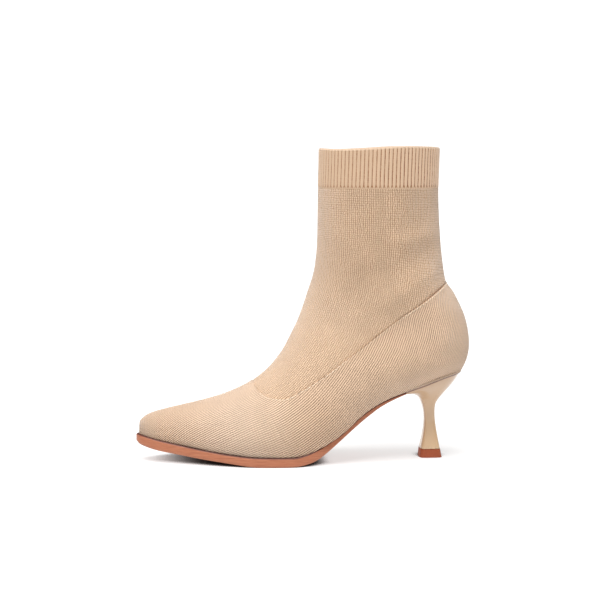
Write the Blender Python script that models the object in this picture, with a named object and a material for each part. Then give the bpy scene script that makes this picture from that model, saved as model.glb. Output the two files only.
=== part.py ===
"""Knit ankle boot with a pointed toe and a waisted heel: the left boot, standing empty.

Toe toward -X, heel toward +X, outer (lateral) side toward -Y, +Z up, floor at z = 0.
Tables are in shares of the driving sizes below, so the boot follows those sizes.
"""
from collections import namedtuple

import bpy
import bmesh
import numpy as np

# Driving sizes in millimetres
MM = 0.001
LENGTH = 251.0
BALL_WIDTH = 77.0
HEEL_HEIGHT = 66.0
COLLAR_HEIGHT = 236.0
UPPER_WALL = 2.2
SHAFT_WALL = 1.9
INSOLE_THICK = 2.5
FIT = 0.3
SEAM_FIT = 0.3
WELT = 2.0
WAIST_TUCK = 2.6
SOLE_EDGE_BEVEL = 0.8
LEAST_SWELL = 0.7

# Mesh fineness
SIDE_STEPS = 5
CROWN_STEPS = 11
SOLE_STATIONS = 34

# Outline of the upper where it meets the sole, in plan.
# along: share of the length from the toe tip; lateral and medial: shares of the ball width.
Plan = namedtuple("Plan", "along lateral medial")
PLAN = (
    Plan(0.000, -0.045, 0.045),
    Plan(0.016, 0.050, 0.145),
    Plan(0.040, 0.110, 0.200),
    Plan(0.080, 0.180, 0.262),
    Plan(0.140, 0.272, 0.340),
    Plan(0.207, 0.370, 0.410),
    Plan(0.280, 0.453, 0.462),
    Plan(0.360, 0.506, 0.490),
    Plan(0.440, 0.522, 0.470),
    Plan(0.510, 0.495, 0.415),
    Plan(0.580, 0.442, 0.364),
    Plan(0.660, 0.390, 0.328),
    Plan(0.740, 0.351, 0.320),
    Plan(0.820, 0.337, 0.329),
    Plan(0.885, 0.325, 0.325),
    Plan(0.935, 0.272, 0.272),
    Plan(0.965, 0.188, 0.188),
    Plan(0.980, 0.000, 0.000),
)

# Side view of the bottom: the seat the upper stands on and the tread under the outsole.
# along: share of the length from the toe tip; seat and tread: shares of the heel height.
Bottom = namedtuple("Bottom", "along seat tread")
BOTTOM = (
    Bottom(-0.010, 0.318, 0.207),
    Bottom(0.020, 0.296, 0.172),
    Bottom(0.060, 0.264, 0.138),
    Bottom(0.108, 0.232, 0.115),
    Bottom(0.175, 0.191, 0.080),
    Bottom(0.270, 0.142, 0.038),
    Bottom(0.350, 0.117, 0.000),
    Bottom(0.455, 0.112, 0.000),
    Bottom(0.490, 0.139, 0.024),
    Bottom(0.530, 0.194, 0.068),
    Bottom(0.562, 0.255, 0.154),
    Bottom(0.600, 0.345, 0.280),
    Bottom(0.665, 0.558, 0.498),
    Bottom(0.715, 0.682, 0.632),
    Bottom(0.770, 0.772, 0.732),
    Bottom(0.840, 0.862, 0.830),
    Bottom(0.940, 0.985, 0.950),
    Bottom(1.000, 1.015, 0.980),
)

# Cross-sections of the last, fanned round the instep from the toe to the collar.
# Each runs from a back point (on the seat, then up the heel and the back of the leg)
# to a front point (on the vamp ridge, then up the shin).
# back and front: shares of the length; back_up and front_up: shares of the collar height,
# where a back_up of None lies on the seat; lateral and medial: widest reach in shares of
# the ball width; widest: how far from back to front the widest place is; crown: roundness
# of the front half (2 is an ellipse); heel: roundness of the back half; proud: millimetres
# the heel counter stands off the line of the leg; steps: grid rows up to the next section.
# Two sections share the back corner of the seat, so the fan turns there without a crease.
Section = namedtuple(
    "Section",
    "back back_up front front_up lateral medial widest crown heel proud steps",
)
SECTIONS = (
    Section(0.000, None, 0.001, 0.115, 0.000, 0.000, 0.30, 2.0, 2.0, 0.0, 1),
    Section(0.003, None, 0.003, 0.125, 0.000, 0.000, 0.28, 2.0, 2.0, 0.0, 1),
    Section(0.010, None, 0.010, 0.135, 0.000, 0.000, 0.26, 2.0, 2.0, 0.0, 1),
    Section(0.024, None, 0.024, 0.146, 0.000, 0.000, 0.24, 2.0, 2.0, 0.0, 2),
    Section(0.056, None, 0.057, 0.159, 0.000, 0.000, 0.22, 2.0, 2.0, 0.0, 2),
    Section(0.120, None, 0.116, 0.174, 0.260, 0.332, 0.22, 2.0, 2.0, 0.0, 2),
    Section(0.191, None, 0.183, 0.190, 0.372, 0.416, 0.22, 2.0, 2.0, 0.0, 2),
    Section(0.279, None, 0.251, 0.210, 0.480, 0.490, 0.22, 2.0, 2.0, 0.0, 2),
    Section(0.382, None, 0.315, 0.239, 0.545, 0.517, 0.23, 1.95, 2.0, 0.0, 2),
    Section(0.478, None, 0.358, 0.266, 0.545, 0.495, 0.26, 1.9, 2.0, 0.0, 2),
    Section(0.550, None, 0.389, 0.294, 0.525, 0.480, 0.30, 1.9, 2.0, 0.0, 2),
    Section(0.618, None, 0.414, 0.324, 0.500, 0.462, 0.33, 1.9, 2.0, 0.0, 2),
    Section(0.693, None, 0.436, 0.357, 0.474, 0.444, 0.36, 1.9, 2.0, 0.0, 2),
    Section(0.785, None, 0.458, 0.402, 0.450, 0.430, 0.38, 1.95, 2.1, 0.0, 2),
    Section(0.884, None, 0.477, 0.443, 0.430, 0.418, 0.40, 2.0, 2.35, 0.0, 5),
    Section(0.980, None, 0.494, 0.490, 0.419, 0.411, 0.42, 2.0, 2.6, 0.0, 2),
    Section(0.980, None, 0.501, 0.512, 0.417, 0.410, 0.42, 2.0, 2.6, 0.0, 2),
    Section(0.995, 0.320, 0.508, 0.535, 0.416, 0.409, 0.43, 2.0, 2.6, 0.0, 1),
    Section(0.999, 0.360, 0.515, 0.557, 0.415, 0.409, 0.43, 2.0, 2.6, 0.3, 2),
    Section(0.987, 0.433, 0.525, 0.590, 0.416, 0.410, 0.44, 2.0, 2.5, 1.4, 2),
    Section(0.952, 0.513, 0.532, 0.625, 0.418, 0.412, 0.46, 2.0, 2.35, 3.4, 2),
    Section(0.930, 0.580, 0.536, 0.661, 0.422, 0.418, 0.48, 2.0, 2.2, 0.6, 2),
    Section(0.916, 0.682, 0.539, 0.712, 0.428, 0.424, 0.50, 2.0, 2.1, 0.0, 2),
    Section(0.911, 0.763, 0.540, 0.780, 0.430, 0.430, 0.50, 2.0, 2.0, 0.0, 2),
    Section(0.908, 0.870, 0.541, 0.876, 0.436, 0.436, 0.50, 2.0, 2.0, 0.0, 2),
    Section(0.909, 0.940, 0.543, 0.940, 0.442, 0.442, 0.50, 2.0, 2.0, 0.0, 2),
    Section(0.911, 1.000, 0.544, 1.000, 0.448, 0.448, 0.50, 2.0, 2.0, 0.0, 0),
)
FOOT_TOP_SECTION = 22

# Seam between foot and leg in side view: along in shares of the length, up in shares of
# the collar height. The first and last points lie outside the boot.
Seam = namedtuple("Seam", "along up")
SEAM = (
    Seam(0.322, 0.305),
    Seam(0.335, 0.272),
    Seam(0.342, 0.257),
    Seam(0.348, 0.242),
    Seam(0.360, 0.228),
    Seam(0.374, 0.219),
    Seam(0.390, 0.214),
    Seam(0.408, 0.212),
    Seam(0.428, 0.212),
    Seam(0.448, 0.219),
    Seam(0.478, 0.236),
    Seam(0.521, 0.264),
    Seam(0.566, 0.296),
    Seam(0.611, 0.332),
    Seam(0.656, 0.365),
    Seam(0.701, 0.403),
    Seam(0.747, 0.441),
    Seam(0.794, 0.477),
    Seam(0.842, 0.510),
    Seam(0.879, 0.537),
    Seam(0.908, 0.561),
    Seam(0.925, 0.574),
    Seam(0.960, 0.598),
    Seam(1.060, 0.650),
)

# Heel: rings from the seat down to the neck and out again to the top lift.
# front and back: shares of the length; front_up and back_up: shares of the heel height;
# half: half width as a share of the ball width; square: 0 is the seat outline, 1 is a
# rounded square.
Ring = namedtuple("Ring", "front front_up back back_up half square")
HEEL_RINGS = (
    Ring(0.797, 0.804, 0.975, 0.993, 0.320, 0.0),
    Ring(0.798, 0.778, 0.970, 0.962, 0.312, 0.0),
    Ring(0.810, 0.766, 0.957, 0.882, 0.272, 0.1),
    Ring(0.827, 0.752, 0.933, 0.780, 0.205, 0.3),
    Ring(0.844, 0.718, 0.911, 0.690, 0.135, 0.6),
    Ring(0.855, 0.655, 0.900, 0.628, 0.090, 0.8),
    Ring(0.863, 0.560, 0.898, 0.560, 0.062, 1.0),
    Ring(0.866, 0.470, 0.898, 0.470, 0.056, 1.0),
    Ring(0.865, 0.370, 0.901, 0.370, 0.062, 1.0),
    Ring(0.860, 0.230, 0.907, 0.230, 0.082, 1.0),
    Ring(0.853, 0.103, 0.914, 0.103, 0.106, 1.0),
)
LIFT_RINGS = (
    Ring(0.853, 0.0985, 0.914, 0.0985, 0.107, 1.0),
    Ring(0.850, 0.000, 0.919, 0.000, 0.113, 1.0),
)


# Curves through the tables

def column(table, name):
    """One named column of a table as an array."""
    return np.array([getattr(row, name) for row in table], dtype=float)


def smooth(keys, values, at):
    """Curve through the table that never overshoots, so equal neighbours stay level."""
    keys = np.asarray(keys, dtype=float)
    values = np.asarray(values, dtype=float)
    gap = np.diff(keys)
    rate = np.diff(values) / gap
    slope = np.zeros(len(keys))
    slope[0] = rate[0]
    slope[-1] = rate[-1]
    for i in range(1, len(keys) - 1):
        if rate[i - 1] * rate[i] > 0:
            before = 2 * gap[i] + gap[i - 1]
            after = gap[i] + 2 * gap[i - 1]
            slope[i] = (before + after) / (before / rate[i - 1] + after / rate[i])
    at = np.clip(np.asarray(at, dtype=float), keys[0], keys[-1])
    i = np.clip(np.searchsorted(keys, at, side="right") - 1, 0, len(gap) - 1)
    t = (at - keys[i]) / gap[i]
    rise = values[i + 1] - values[i]
    return (
        values[i]
        + rise * (3 * t**2 - 2 * t**3)
        + gap[i] * slope[i] * (t - 2 * t**2 + t**3)
        + gap[i] * slope[i + 1] * (t**3 - t**2)
    )


def seat_height(along):
    """Height of the seat in millimetres at a share of the length."""
    return HEEL_HEIGHT * smooth(column(BOTTOM, "along"), column(BOTTOM, "seat"), along)


def tread_height(along):
    """Height of the underside in millimetres at a share of the length."""
    return HEEL_HEIGHT * smooth(column(BOTTOM, "along"), column(BOTTOM, "tread"), along)


def plan_reach(along, side):
    """Distance from the centre line to the upper's bottom edge, in millimetres.

    The along axis is stretched at both ends so the toe and heel come out round.
    """
    end = PLAN[-1].along

    def stretched(share):
        return np.arccos(1 - 2 * np.clip(np.asarray(share) / end, 0, 1))

    return BALL_WIDTH * smooth(stretched(column(PLAN, "along")), column(PLAN, side),
                               stretched(along))


# Mesh helpers

def make_object(name, points, faces, colour, roughness, coat=0.0):
    """Closed mesh object from millimetre points, with a material of its own."""
    mesh = bpy.data.meshes.new(name)
    mesh.from_pydata([tuple(np.asarray(p) * MM) for p in points], [], faces)
    shape = bmesh.new()
    shape.from_mesh(mesh)
    bmesh.ops.recalc_face_normals(shape, faces=shape.faces)
    if shape.calc_volume(signed=True) < 0:
        bmesh.ops.reverse_faces(shape, faces=shape.faces)
    shape.to_mesh(mesh)
    shape.free()
    made = bpy.data.objects.new(name, mesh)
    bpy.context.collection.objects.link(made)
    material = bpy.data.materials.new(name)
    material.use_nodes = True
    surface = material.node_tree.nodes["Principled BSDF"]
    surface.inputs["Base Color"].default_value = (*colour, 1.0)
    surface.inputs["Roughness"].default_value = roughness
    surface.inputs["Coat Weight"].default_value = coat
    mesh.materials.append(material)
    return made


def stacked_loops(loops, cap_first, cap_last):
    """Points and faces of a solid whose closed loops are joined one to the next."""
    count = len(loops[0])
    points = [p for loop in loops for p in loop]
    faces = []
    for level in range(len(loops) - 1):
        for i in range(count):
            j = (i + 1) % count
            low = level * count
            faces.append((low + i, low + j, low + count + j, low + count + i))
    last = (len(loops) - 1) * count
    faces += [tuple(reversed(face)) for face in cap_first]
    faces += [tuple(last + i for i in face) for face in cap_last]
    return points, faces


def ladder_cap(count):
    """Faces that close a loop by rungs from its lateral run to its medial run."""
    faces = []
    low, high = 0, count - 1
    while high - low > 2:
        faces.append((low, low + 1, high - 1, high))
        low, high = low + 1, high - 1
    if high - low == 2:
        faces.append((low, low + 1, high))
    return faces


# The last: a fan of sections shared by foot and leg

def section_rows(last_section, with_counter):
    """Every table column sampled along the fan, up to the section asked for."""
    back = column(SECTIONS, "back") * LENGTH
    front = column(SECTIONS, "front") * LENGTH
    front_up = column(SECTIONS, "front_up") * COLLAR_HEIGHT
    back_up = np.array([
        seat_height(row.back) if row.back_up is None else row.back_up * COLLAR_HEIGHT
        for row in SECTIONS
    ])
    chord = 0.5 * (np.hypot(np.diff(back), np.diff(back_up))
                   + np.hypot(np.diff(front), np.diff(front_up)))
    run = np.concatenate(([0.0], np.cumsum(chord)))
    if with_counter:
        back = back + column(SECTIONS, "proud")

    at = []
    for i, row in enumerate(SECTIONS[:last_section]):
        at.extend(run[i] + np.arange(row.steps) / row.steps * chord[i])
    at = np.array(at + [run[last_section]])

    rows = {
        "back": smooth(run, back, at),
        "back_up": smooth(run, back_up, at),
        "front": smooth(run, front, at),
        "front_up": smooth(run, front_up, at),
        "lateral": smooth(run, column(SECTIONS, "lateral"), at) * BALL_WIDTH,
        "medial": smooth(run, column(SECTIONS, "medial"), at) * BALL_WIDTH,
        "widest": smooth(run, column(SECTIONS, "widest"), at),
        "crown": smooth(run, column(SECTIONS, "crown"), at),
        "heel": smooth(run, column(SECTIONS, "heel"), at),
    }
    corner = [i for i, row in enumerate(SECTIONS) if row.back == PLAN[-1].along]
    on_seat = at <= run[corner[-1]] + 1e-6
    rows["back_up"] = np.where(on_seat, seat_height(rows["back"] / LENGTH), rows["back_up"])
    rows["closed"] = at >= run[corner[0]] - 1e-6
    return rows


def last_grid(last_section, with_counter):
    """Outer surface of the last as a grid: rows along the fan, columns from the lateral
    bottom edge over the ridge to the medial bottom edge."""
    rows = section_rows(last_section, with_counter)
    count = len(rows["back"])
    side = SIDE_STEPS + CROWN_STEPS
    grid = np.zeros((count, 2 * side + 1, 3))
    toe_swing = PLAN[0].medial * BALL_WIDTH
    for r in range(count):
        start = np.array([rows["back"][r], rows["back_up"][r]])
        end = np.array([rows["front"][r], rows["front_up"][r]])
        height = np.linalg.norm(end - start)
        direction = (end - start) / height
        share = rows["back"][r] / LENGTH
        widest = rows["widest"][r] * height
        ridge = toe_swing * max(0.0, 1 - share / 0.35)
        power = 2 / rows["crown"][r]
        heel = rows["heel"][r]
        for name, sign in (("lateral", -1), ("medial", 1)):
            edge = 0.0 if rows["closed"][r] else float(plan_reach(share, name))
            middle = sign * ridge
            reach = max(rows[name][r], edge + LEAST_SWELL * min(1.0, 20 * share))
            for k in range(side + 1):
                if k < SIDE_STEPS:
                    left = np.cos(np.pi / 2 * k / SIDE_STEPS)
                    h = widest * (1 - left)
                    near = max(0.0, edge - middle)**heel * left**heel
                    far = (reach - middle)**heel * (1 - left**heel)
                    out = middle + (near + far)**(1 / heel)
                else:
                    angle = np.pi / 2 * (k - SIDE_STEPS) / CROWN_STEPS
                    h = widest + (height - widest) * np.sin(angle)**power
                    out = middle + (reach - middle) * max(0.0, np.cos(angle))**power
                x, z = start + direction * h
                grid[r, k if sign < 0 else 2 * side - k] = (x, sign * out, z)
    grid[0, :, 1] = toe_swing
    return eased_heel(grid, rows["closed"])


def eased_heel(grid, closed):
    """Grid with its rows evened out where the fan turns the back corner of the seat."""
    width = grid.shape[1]
    turn = np.argmax(closed)
    row = np.arange(len(grid))
    near = np.exp(-((row - turn) / 4.0)**2)
    from_edge = np.minimum(np.arange(width), np.arange(width)[::-1])
    fade = np.clip(1 - (from_edge - 1) / (SIDE_STEPS + 2), 0, 1) * (from_edge > 0)
    weight = (near[:, None] * fade[None, :])[1:-1, :, None]
    for _ in range(6):
        evened = 0.5 * grid[1:-1] + 0.25 * (grid[:-2] + grid[2:])
        grid[1:-1] += weight * (evened - grid[1:-1])
    return grid


def welded(grid):
    """Points and quads of a grid with coinciding points made one."""
    count, width = grid.shape[:2]
    place = {}
    points = []
    index = np.zeros((count, width), dtype=int)
    for r in range(count):
        for k in range(width):
            key = tuple(np.round(grid[r, k], 3) + 0.0)
            if key not in place:
                place[key] = len(points)
                points.append(grid[r, k])
            index[r, k] = place[key]
    faces = []
    for r in range(count - 1):
        for k in range(width - 1):
            ring = (index[r, k], index[r + 1, k], index[r + 1, k + 1], index[r, k + 1])
            kept = tuple(int(v) for i, v in enumerate(ring) if v != ring[i - 1])
            if len(set(kept)) > 2:
                faces.append(kept)
    return np.array(points), faces


def outward_normals(points, faces):
    """Unit normal at every point, from the faces round it."""
    normals = np.zeros_like(points)
    for face in faces:
        corners = points[list(face)]
        if len(face) == 4:
            area = np.cross(corners[2] - corners[0], corners[3] - corners[1])
        else:
            area = np.cross(corners[1] - corners[0], corners[2] - corners[0])
        for v in face:
            normals[v] += area
    return normals / np.linalg.norm(normals, axis=1, keepdims=True)


def shell(name, last_section, with_counter, wall, colour, roughness):
    """Hollow shell of the last, open underneath and at the top."""
    points, faces = welded(last_grid(last_section, with_counter))
    normals = outward_normals(points, faces)
    sides = {(face[i - 1], face[i]) for face in faces for i in range(len(face))}
    rim = [(a, b) for a, b in sides if (b, a) not in sides]
    if normals[np.argmax(points[:, 1]), 1] < 0:
        normals = -normals
    inward = -normals
    step = 0.002
    for v in {v for side in rim for v in side}:
        share = points[v, 0] / LENGTH
        if points[v, 2] < HEEL_HEIGHT * 1.2:
            rise = (seat_height(share + step) - seat_height(share - step)) / (2 * step * LENGTH)
            inward[v, 2] = inward[v, 0] * rise
        else:
            inward[v, 2] = 0.0
        inward[v] /= np.linalg.norm(inward[v])
    count = len(points)
    inner = [tuple(count + v for v in reversed(face)) for face in faces]
    edge = [(a, count + a, count + b, b) for a, b in rim]
    both = np.concatenate((points, points + wall * inward))
    return make_object(name, both, faces + inner + edge, colour, roughness)


def seam_cutter(name, keep_leg):
    """Block whose edge follows the seam, for the leg side or the foot side of it."""
    along = column(SEAM, "along") * LENGTH
    up = column(SEAM, "up") * COLLAR_HEIGHT
    run = np.concatenate(([0.0], np.cumsum(np.hypot(np.diff(along), np.diff(up)))))
    at = np.linspace(0, run[-1], 2 * len(SEAM))
    line = np.stack((smooth(run, along, at), smooth(run, up, at)), axis=1)
    step = np.gradient(line, axis=0)
    step /= np.linalg.norm(step, axis=1, keepdims=True)
    away = np.stack((-step[:, 1], step[:, 0]), axis=1)
    line = line + away * SEAM_FIT / 2 * (1 if keep_leg else -1)
    high = COLLAR_HEIGHT + 30
    if keep_leg:
        corners = [(line[-1, 0], high), (line[0, 0], high)]
    else:
        corners = [(line[-1, 0], -30), (-30, -30), (-30, high), (line[0, 0], high)]
    outline = np.concatenate((line, np.array(corners)))
    loops = [[(x, y, z) for x, z in outline] for y in (-BALL_WIDTH, BALL_WIDTH)]
    whole = [tuple(range(len(outline)))]
    points, faces = stacked_loops(loops, whole, whole)
    cutter = make_object(name, points, faces, (0.5, 0.5, 0.5), 0.5)
    cutter.hide_render = True
    cutter.display_type = "WIRE"
    return cutter


def keep_inside(target, cutter):
    """Trims a solid to the cutter with a live Boolean."""
    trim = target.modifiers.new(cutter.name, "BOOLEAN")
    trim.operation = "INTERSECT"
    trim.solver = "EXACT"
    trim.object = cutter


# Flat pieces under the foot

def plan_loop(shares, offset):
    """Loop of plan points from the lateral side round the toe to the medial side.

    offset gives how far a point moves outward at a share of the length.
    """
    lateral = [(s * LENGTH, -float(plan_reach(s, "lateral"))) for s in shares]
    medial = [(s * LENGTH, float(plan_reach(s, "medial"))) for s in shares]
    loop = np.array(lateral[::-1] + medial[1:])
    along = np.gradient(loop, axis=0)
    away = np.stack((along[:, 1], -along[:, 0]), axis=1)
    away /= -np.linalg.norm(away, axis=1, keepdims=True)
    amount = np.array([offset(x / LENGTH) for x in loop[:, 0]])
    return loop + away * amount[:, None]


def sole_reach(share):
    """How far the outsole edge stands outside the upper's bottom edge."""
    return float(smooth((0.0, 0.50, 0.565, 1.0), (WELT, WELT, -WAIST_TUCK, -WAIST_TUCK), share))


def build_outsole():
    """Outsole from the toe to the front of the heel, with eased edges."""
    breast = HEEL_RINGS[0].front - FIT / LENGTH
    shares = breast * np.linspace(0, 1, SOLE_STATIONS)**1.5
    loops = []
    for inset, level in ((SOLE_EDGE_BEVEL, 0.0), (0.0, 0.12), (0.0, 0.80), (1.3, 1.0)):
        plan = plan_loop(shares, lambda share: sole_reach(share) - inset)
        loop = []
        for x, y in plan:
            top = float(seat_height(x / LENGTH)) - FIT
            base = float(tread_height(x / LENGTH))
            loop.append((x, y, top + (base - top) * level))
        loops.append(loop)
    cap = ladder_cap(len(loops[0]))
    points, faces = stacked_loops(loops, cap, cap)
    return make_object("outsole", points, faces, (0.42, 0.15, 0.08), 0.42)


def build_insole():
    """Sock-lined insole lying inside the upper from toe to heel."""
    inset = UPPER_WALL + 1.5
    turn = np.pi * np.linspace(0, 1, SOLE_STATIONS)
    shares = PLAN[-1].along * (1 - np.cos(turn)) / 2
    loops = []
    for lift in (0.2, INSOLE_THICK):
        plan = plan_loop(shares[:-1], lambda share: -inset)
        loops.append([(x, y, float(seat_height(x / LENGTH)) + lift) for x, y in plan])
    cap = ladder_cap(len(loops[0]))
    points, faces = stacked_loops(loops, cap, cap)
    return make_object("insole", points, faces, (0.62, 0.46, 0.33), 0.8)


# Heel

def seat_shape():
    """Seat outline behind the heel front, scaled to run from -1 to 1 both ways."""
    first = HEEL_RINGS[0].front
    end = PLAN[-1].along
    share = first + (end - first) * np.sin(np.linspace(0, np.pi / 2, 13))
    x = -1 + 2 * (share - first) / (end - first)
    y = np.array([float(plan_reach(s, "lateral")) for s in share])
    y /= y.max()
    front = [(-1.0, v) for v in np.linspace(y[0], -y[0], 7)[1:-1]]
    medial = [(a, b) for a, b in zip(x, y)]
    lateral = [(a, -b) for a, b in zip(x[:-1], y[:-1])]
    return np.array(lateral + medial[::-1] + front)


def seat_bow(share):
    """How far the curved seat rises above a straight line from the heel front to its back."""
    first = HEEL_RINGS[0].front
    last = HEEL_RINGS[0].back
    ends = seat_height(np.array([first, last]))
    return seat_height(first + (last - first) * share) - (ends[0] + (ends[1] - ends[0]) * share)


def ring_points(rings):
    """Loops of points for the rings of the heel table."""
    seat = seat_shape()
    angle = np.arctan2(seat[:, 1], seat[:, 0])
    power = 5.0
    radius = (np.abs(np.cos(angle))**power + np.abs(np.sin(angle))**power)**(-1 / power)
    block = np.stack((radius * np.cos(angle), radius * np.sin(angle)), axis=1)
    loops = []
    for ring in rings:
        shape = seat + (block - seat) * ring.square
        share = (shape[:, 0] + 1) / 2
        x = (ring.front + (ring.back - ring.front) * share) * LENGTH
        z = (ring.front_up + (ring.back_up - ring.front_up) * share) * HEEL_HEIGHT
        z = z + (1 - ring.square) * seat_bow(share)
        y = shape[:, 1] * ring.half * BALL_WIDTH
        loops.append([(a, b, c) for a, b, c in zip(x, y, z)])
    return loops


def build_heel_piece(name, rings, colour, roughness, coat):
    """Solid through the rings of a heel table, closed at both ends."""
    loops = ring_points(rings)
    whole = [tuple(range(len(loops[0])))]
    points, faces = stacked_loops(loops, whole, whole)
    return make_object(name, points, faces, colour, roughness, coat)


# Assembly

for old in list(bpy.data.objects):
    bpy.data.objects.remove(old, do_unlink=True)

upper = shell("upper", FOOT_TOP_SECTION, True, UPPER_WALL, (0.66, 0.48, 0.32), 0.85)
shaft = shell("shaft", len(SECTIONS) - 1, False, SHAFT_WALL, (0.68, 0.50, 0.34), 0.85)
keep_inside(upper, seam_cutter("foot_side_of_seam", False))
keep_inside(shaft, seam_cutter("leg_side_of_seam", True))
insole = build_insole()
outsole = build_outsole()
heel = build_heel_piece("heel", HEEL_RINGS, (0.62, 0.45, 0.31), 0.25, 0.6)
top_lift = build_heel_piece("top_lift", LIFT_RINGS, (0.36, 0.12, 0.06), 0.5, 0.0)

# The floor and the middle of the boot's box become the origin
corners = np.array([
    tuple(vertex.co) for made in (upper, shaft, outsole, heel, top_lift)
    for vertex in made.data.vertices
])
middle = (corners.min(axis=0) + corners.max(axis=0)) / 2
origin = bpy.data.objects.new("boot_origin", None)
bpy.context.collection.objects.link(origin)
origin.location = (-middle[0], -middle[1], 0.0)
for made in list(bpy.data.objects):
    if made is not origin:
        made.parent = origin
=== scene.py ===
"""Looks of a knit ankle boot with a pointed toe, a ribbed cuff and a waisted kitten heel.

Toe toward -X, outer side toward -Y, floor at z = 0. Tables and sizes are in millimetres.
"""
from collections import namedtuple

import bpy
import numpy as np
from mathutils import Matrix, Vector


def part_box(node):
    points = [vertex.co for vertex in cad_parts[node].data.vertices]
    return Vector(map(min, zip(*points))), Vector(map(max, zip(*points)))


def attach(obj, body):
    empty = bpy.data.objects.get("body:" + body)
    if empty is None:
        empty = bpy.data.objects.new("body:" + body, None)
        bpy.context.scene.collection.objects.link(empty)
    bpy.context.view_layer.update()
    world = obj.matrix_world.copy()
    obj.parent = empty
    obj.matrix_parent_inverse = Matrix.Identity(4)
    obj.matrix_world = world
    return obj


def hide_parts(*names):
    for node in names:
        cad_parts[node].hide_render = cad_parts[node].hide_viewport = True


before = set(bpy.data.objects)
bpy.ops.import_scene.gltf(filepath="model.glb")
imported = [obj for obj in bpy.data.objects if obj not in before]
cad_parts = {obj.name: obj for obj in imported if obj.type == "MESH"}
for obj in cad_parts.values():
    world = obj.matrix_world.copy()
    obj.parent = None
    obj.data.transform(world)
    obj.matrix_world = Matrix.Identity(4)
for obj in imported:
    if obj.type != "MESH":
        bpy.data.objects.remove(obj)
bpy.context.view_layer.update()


# Insole
# A sock-lined insole board, cut to the last and laid in the boot before the upper is pulled over.
# The lining is a thin pale microfibre with a soft nap, rolled over the board's edge.

MM = 0.001
MERGE = 0.02


def make_active(piece):
    """Leaves one piece selected and active, and nothing else selected."""
    bpy.ops.object.select_all(action="DESELECT")
    piece.select_set(True)
    bpy.context.view_layer.objects.active = piece


def add_piece(name, mesh):
    """A new piece with the given mesh, selected and active."""
    piece = bpy.data.objects.new(name, mesh)
    bpy.context.scene.collection.objects.link(piece)
    make_active(piece)
    return piece


def merge_points(closer_than, into_quads=False):
    """Merges the points of the active piece that lie within a distance in millimetres."""
    bpy.ops.object.mode_set(mode="EDIT")
    bpy.ops.mesh.select_all(action="SELECT")
    bpy.ops.mesh.remove_doubles(threshold=closer_than * MM)
    if into_quads:
        bpy.ops.mesh.tris_convert_to_quads(face_threshold=0.6, shape_threshold=1.2)
    bpy.ops.object.mode_set(mode="OBJECT")


def node_copy(cad_node, name):
    """A mesh copy of a CAD node as a new piece, merged and in quads, selected and active."""
    piece = add_piece(name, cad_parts[cad_node].data.copy())
    piece.data.materials.clear()
    merge_points(MERGE, into_quads=True)
    return piece


def apply_modifier(piece, kind, **settings):
    """Adds a modifier with its settings and applies it."""
    make_active(piece)
    modifier = piece.modifiers.new(kind.lower(), kind)
    for key, value in settings.items():
        setattr(modifier, key, value)
    bpy.ops.object.modifier_apply(modifier=modifier.name)


def linear(hex_colour):
    """An sRGB hex colour as linear RGBA."""
    parts = [int(hex_colour[i:i + 2], 16) / 255 for i in (1, 3, 5)]
    return (*[p / 12.92 if p <= 0.04045 else ((p + 0.055) / 1.055)**2.4 for p in parts], 1.0)


def add_node(tree, kind, inputs=None, output=0, **settings):
    """Adds a shader node of a kind, such as Math, with its settings, fills or links its inputs by
    name or number, and gives one of its outputs."""
    made = tree.nodes.new("ShaderNode" + kind)
    for key, value in settings.items():
        setattr(made, key, value)
    for key, value in (inputs or {}).items():
        if isinstance(value, bpy.types.NodeSocket):
            tree.links.new(value, made.inputs[key])
        else:
            made.inputs[key].default_value = value
    return made.outputs[output]


def new_material(name, **values):
    """A material, its node tree and its Principled shader with plain values set by socket name."""
    material = bpy.data.materials.new(name)
    material.use_nodes = True
    shader = material.node_tree.nodes["Principled BSDF"]
    for key, value in values.items():
        shader.inputs[key.replace("_", " ")].default_value = value
    return material, material.node_tree, shader


def colour_and_grain(tree, shader, colour, grain, strength, depth):
    """Links a colour to a shader, and a grain as bump of a strength and a depth in millimetres."""
    bump = add_node(tree, "Bump", {"Height": grain, "Strength": strength, "Distance": depth * MM})
    tree.links.new(colour, shader.inputs["Base Color"])
    tree.links.new(bump, shader.inputs["Normal"])


insole = node_copy("insole", "insole_lining")
apply_modifier(insole, "BEVEL", width=0.6 * MM, segments=2, limit_method="ANGLE")
apply_modifier(insole, "SUBSURF", levels=1, render_levels=1)
bpy.ops.object.shade_smooth()

# Microfibre sock lining: matt, with a fine even nap and slight cloudiness
LINING_NAP = 0.7 * MM
LINING_CLOUD = 25 * MM
lining, tree, shader = new_material("microfibre_lining", Roughness=0.92, Specular_IOR_Level=0.2)
place = add_node(tree, "TexCoord", output="Object")
nap = add_node(tree, "TexNoise", {"Vector": place, "Scale": 1 / LINING_NAP, "Detail": 3.0})
cloud = add_node(tree, "TexNoise", {"Vector": place, "Scale": 1 / LINING_CLOUD})
tone = add_node(tree, "Mix", {0: cloud, 6: linear("#c9a988"), 7: linear("#dcc3a4")},
                output=2, data_type="RGBA")
colour_and_grain(tree, shader, tone, nap, strength=0.5, depth=0.2)
insole.data.materials.append(lining)
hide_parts("insole")
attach(insole, "root")


# Knit foot
# Vamp, quarters and heel counter in one piece of close flat knit over a thin lining, pulled over
# the last and cemented under the insole. Its top edge is turned in and sewn to the leg.

LENGTH = 251.0
BALL_WIDTH = 77.0
HEEL_HEIGHT = 66.0
COLLAR_HEIGHT = 236.0
FOOT_WALL = 2.2
LEAST_SWELL = 0.7
SIDE_STEPS = 5
CROWN_STEPS = 11
SIDE = SIDE_STEPS + CROWN_STEPS
SIDE_NAMES = {-1: "lateral", 1: "medial"}

# A length or a share too small to show
HAIR = 1e-6

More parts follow.
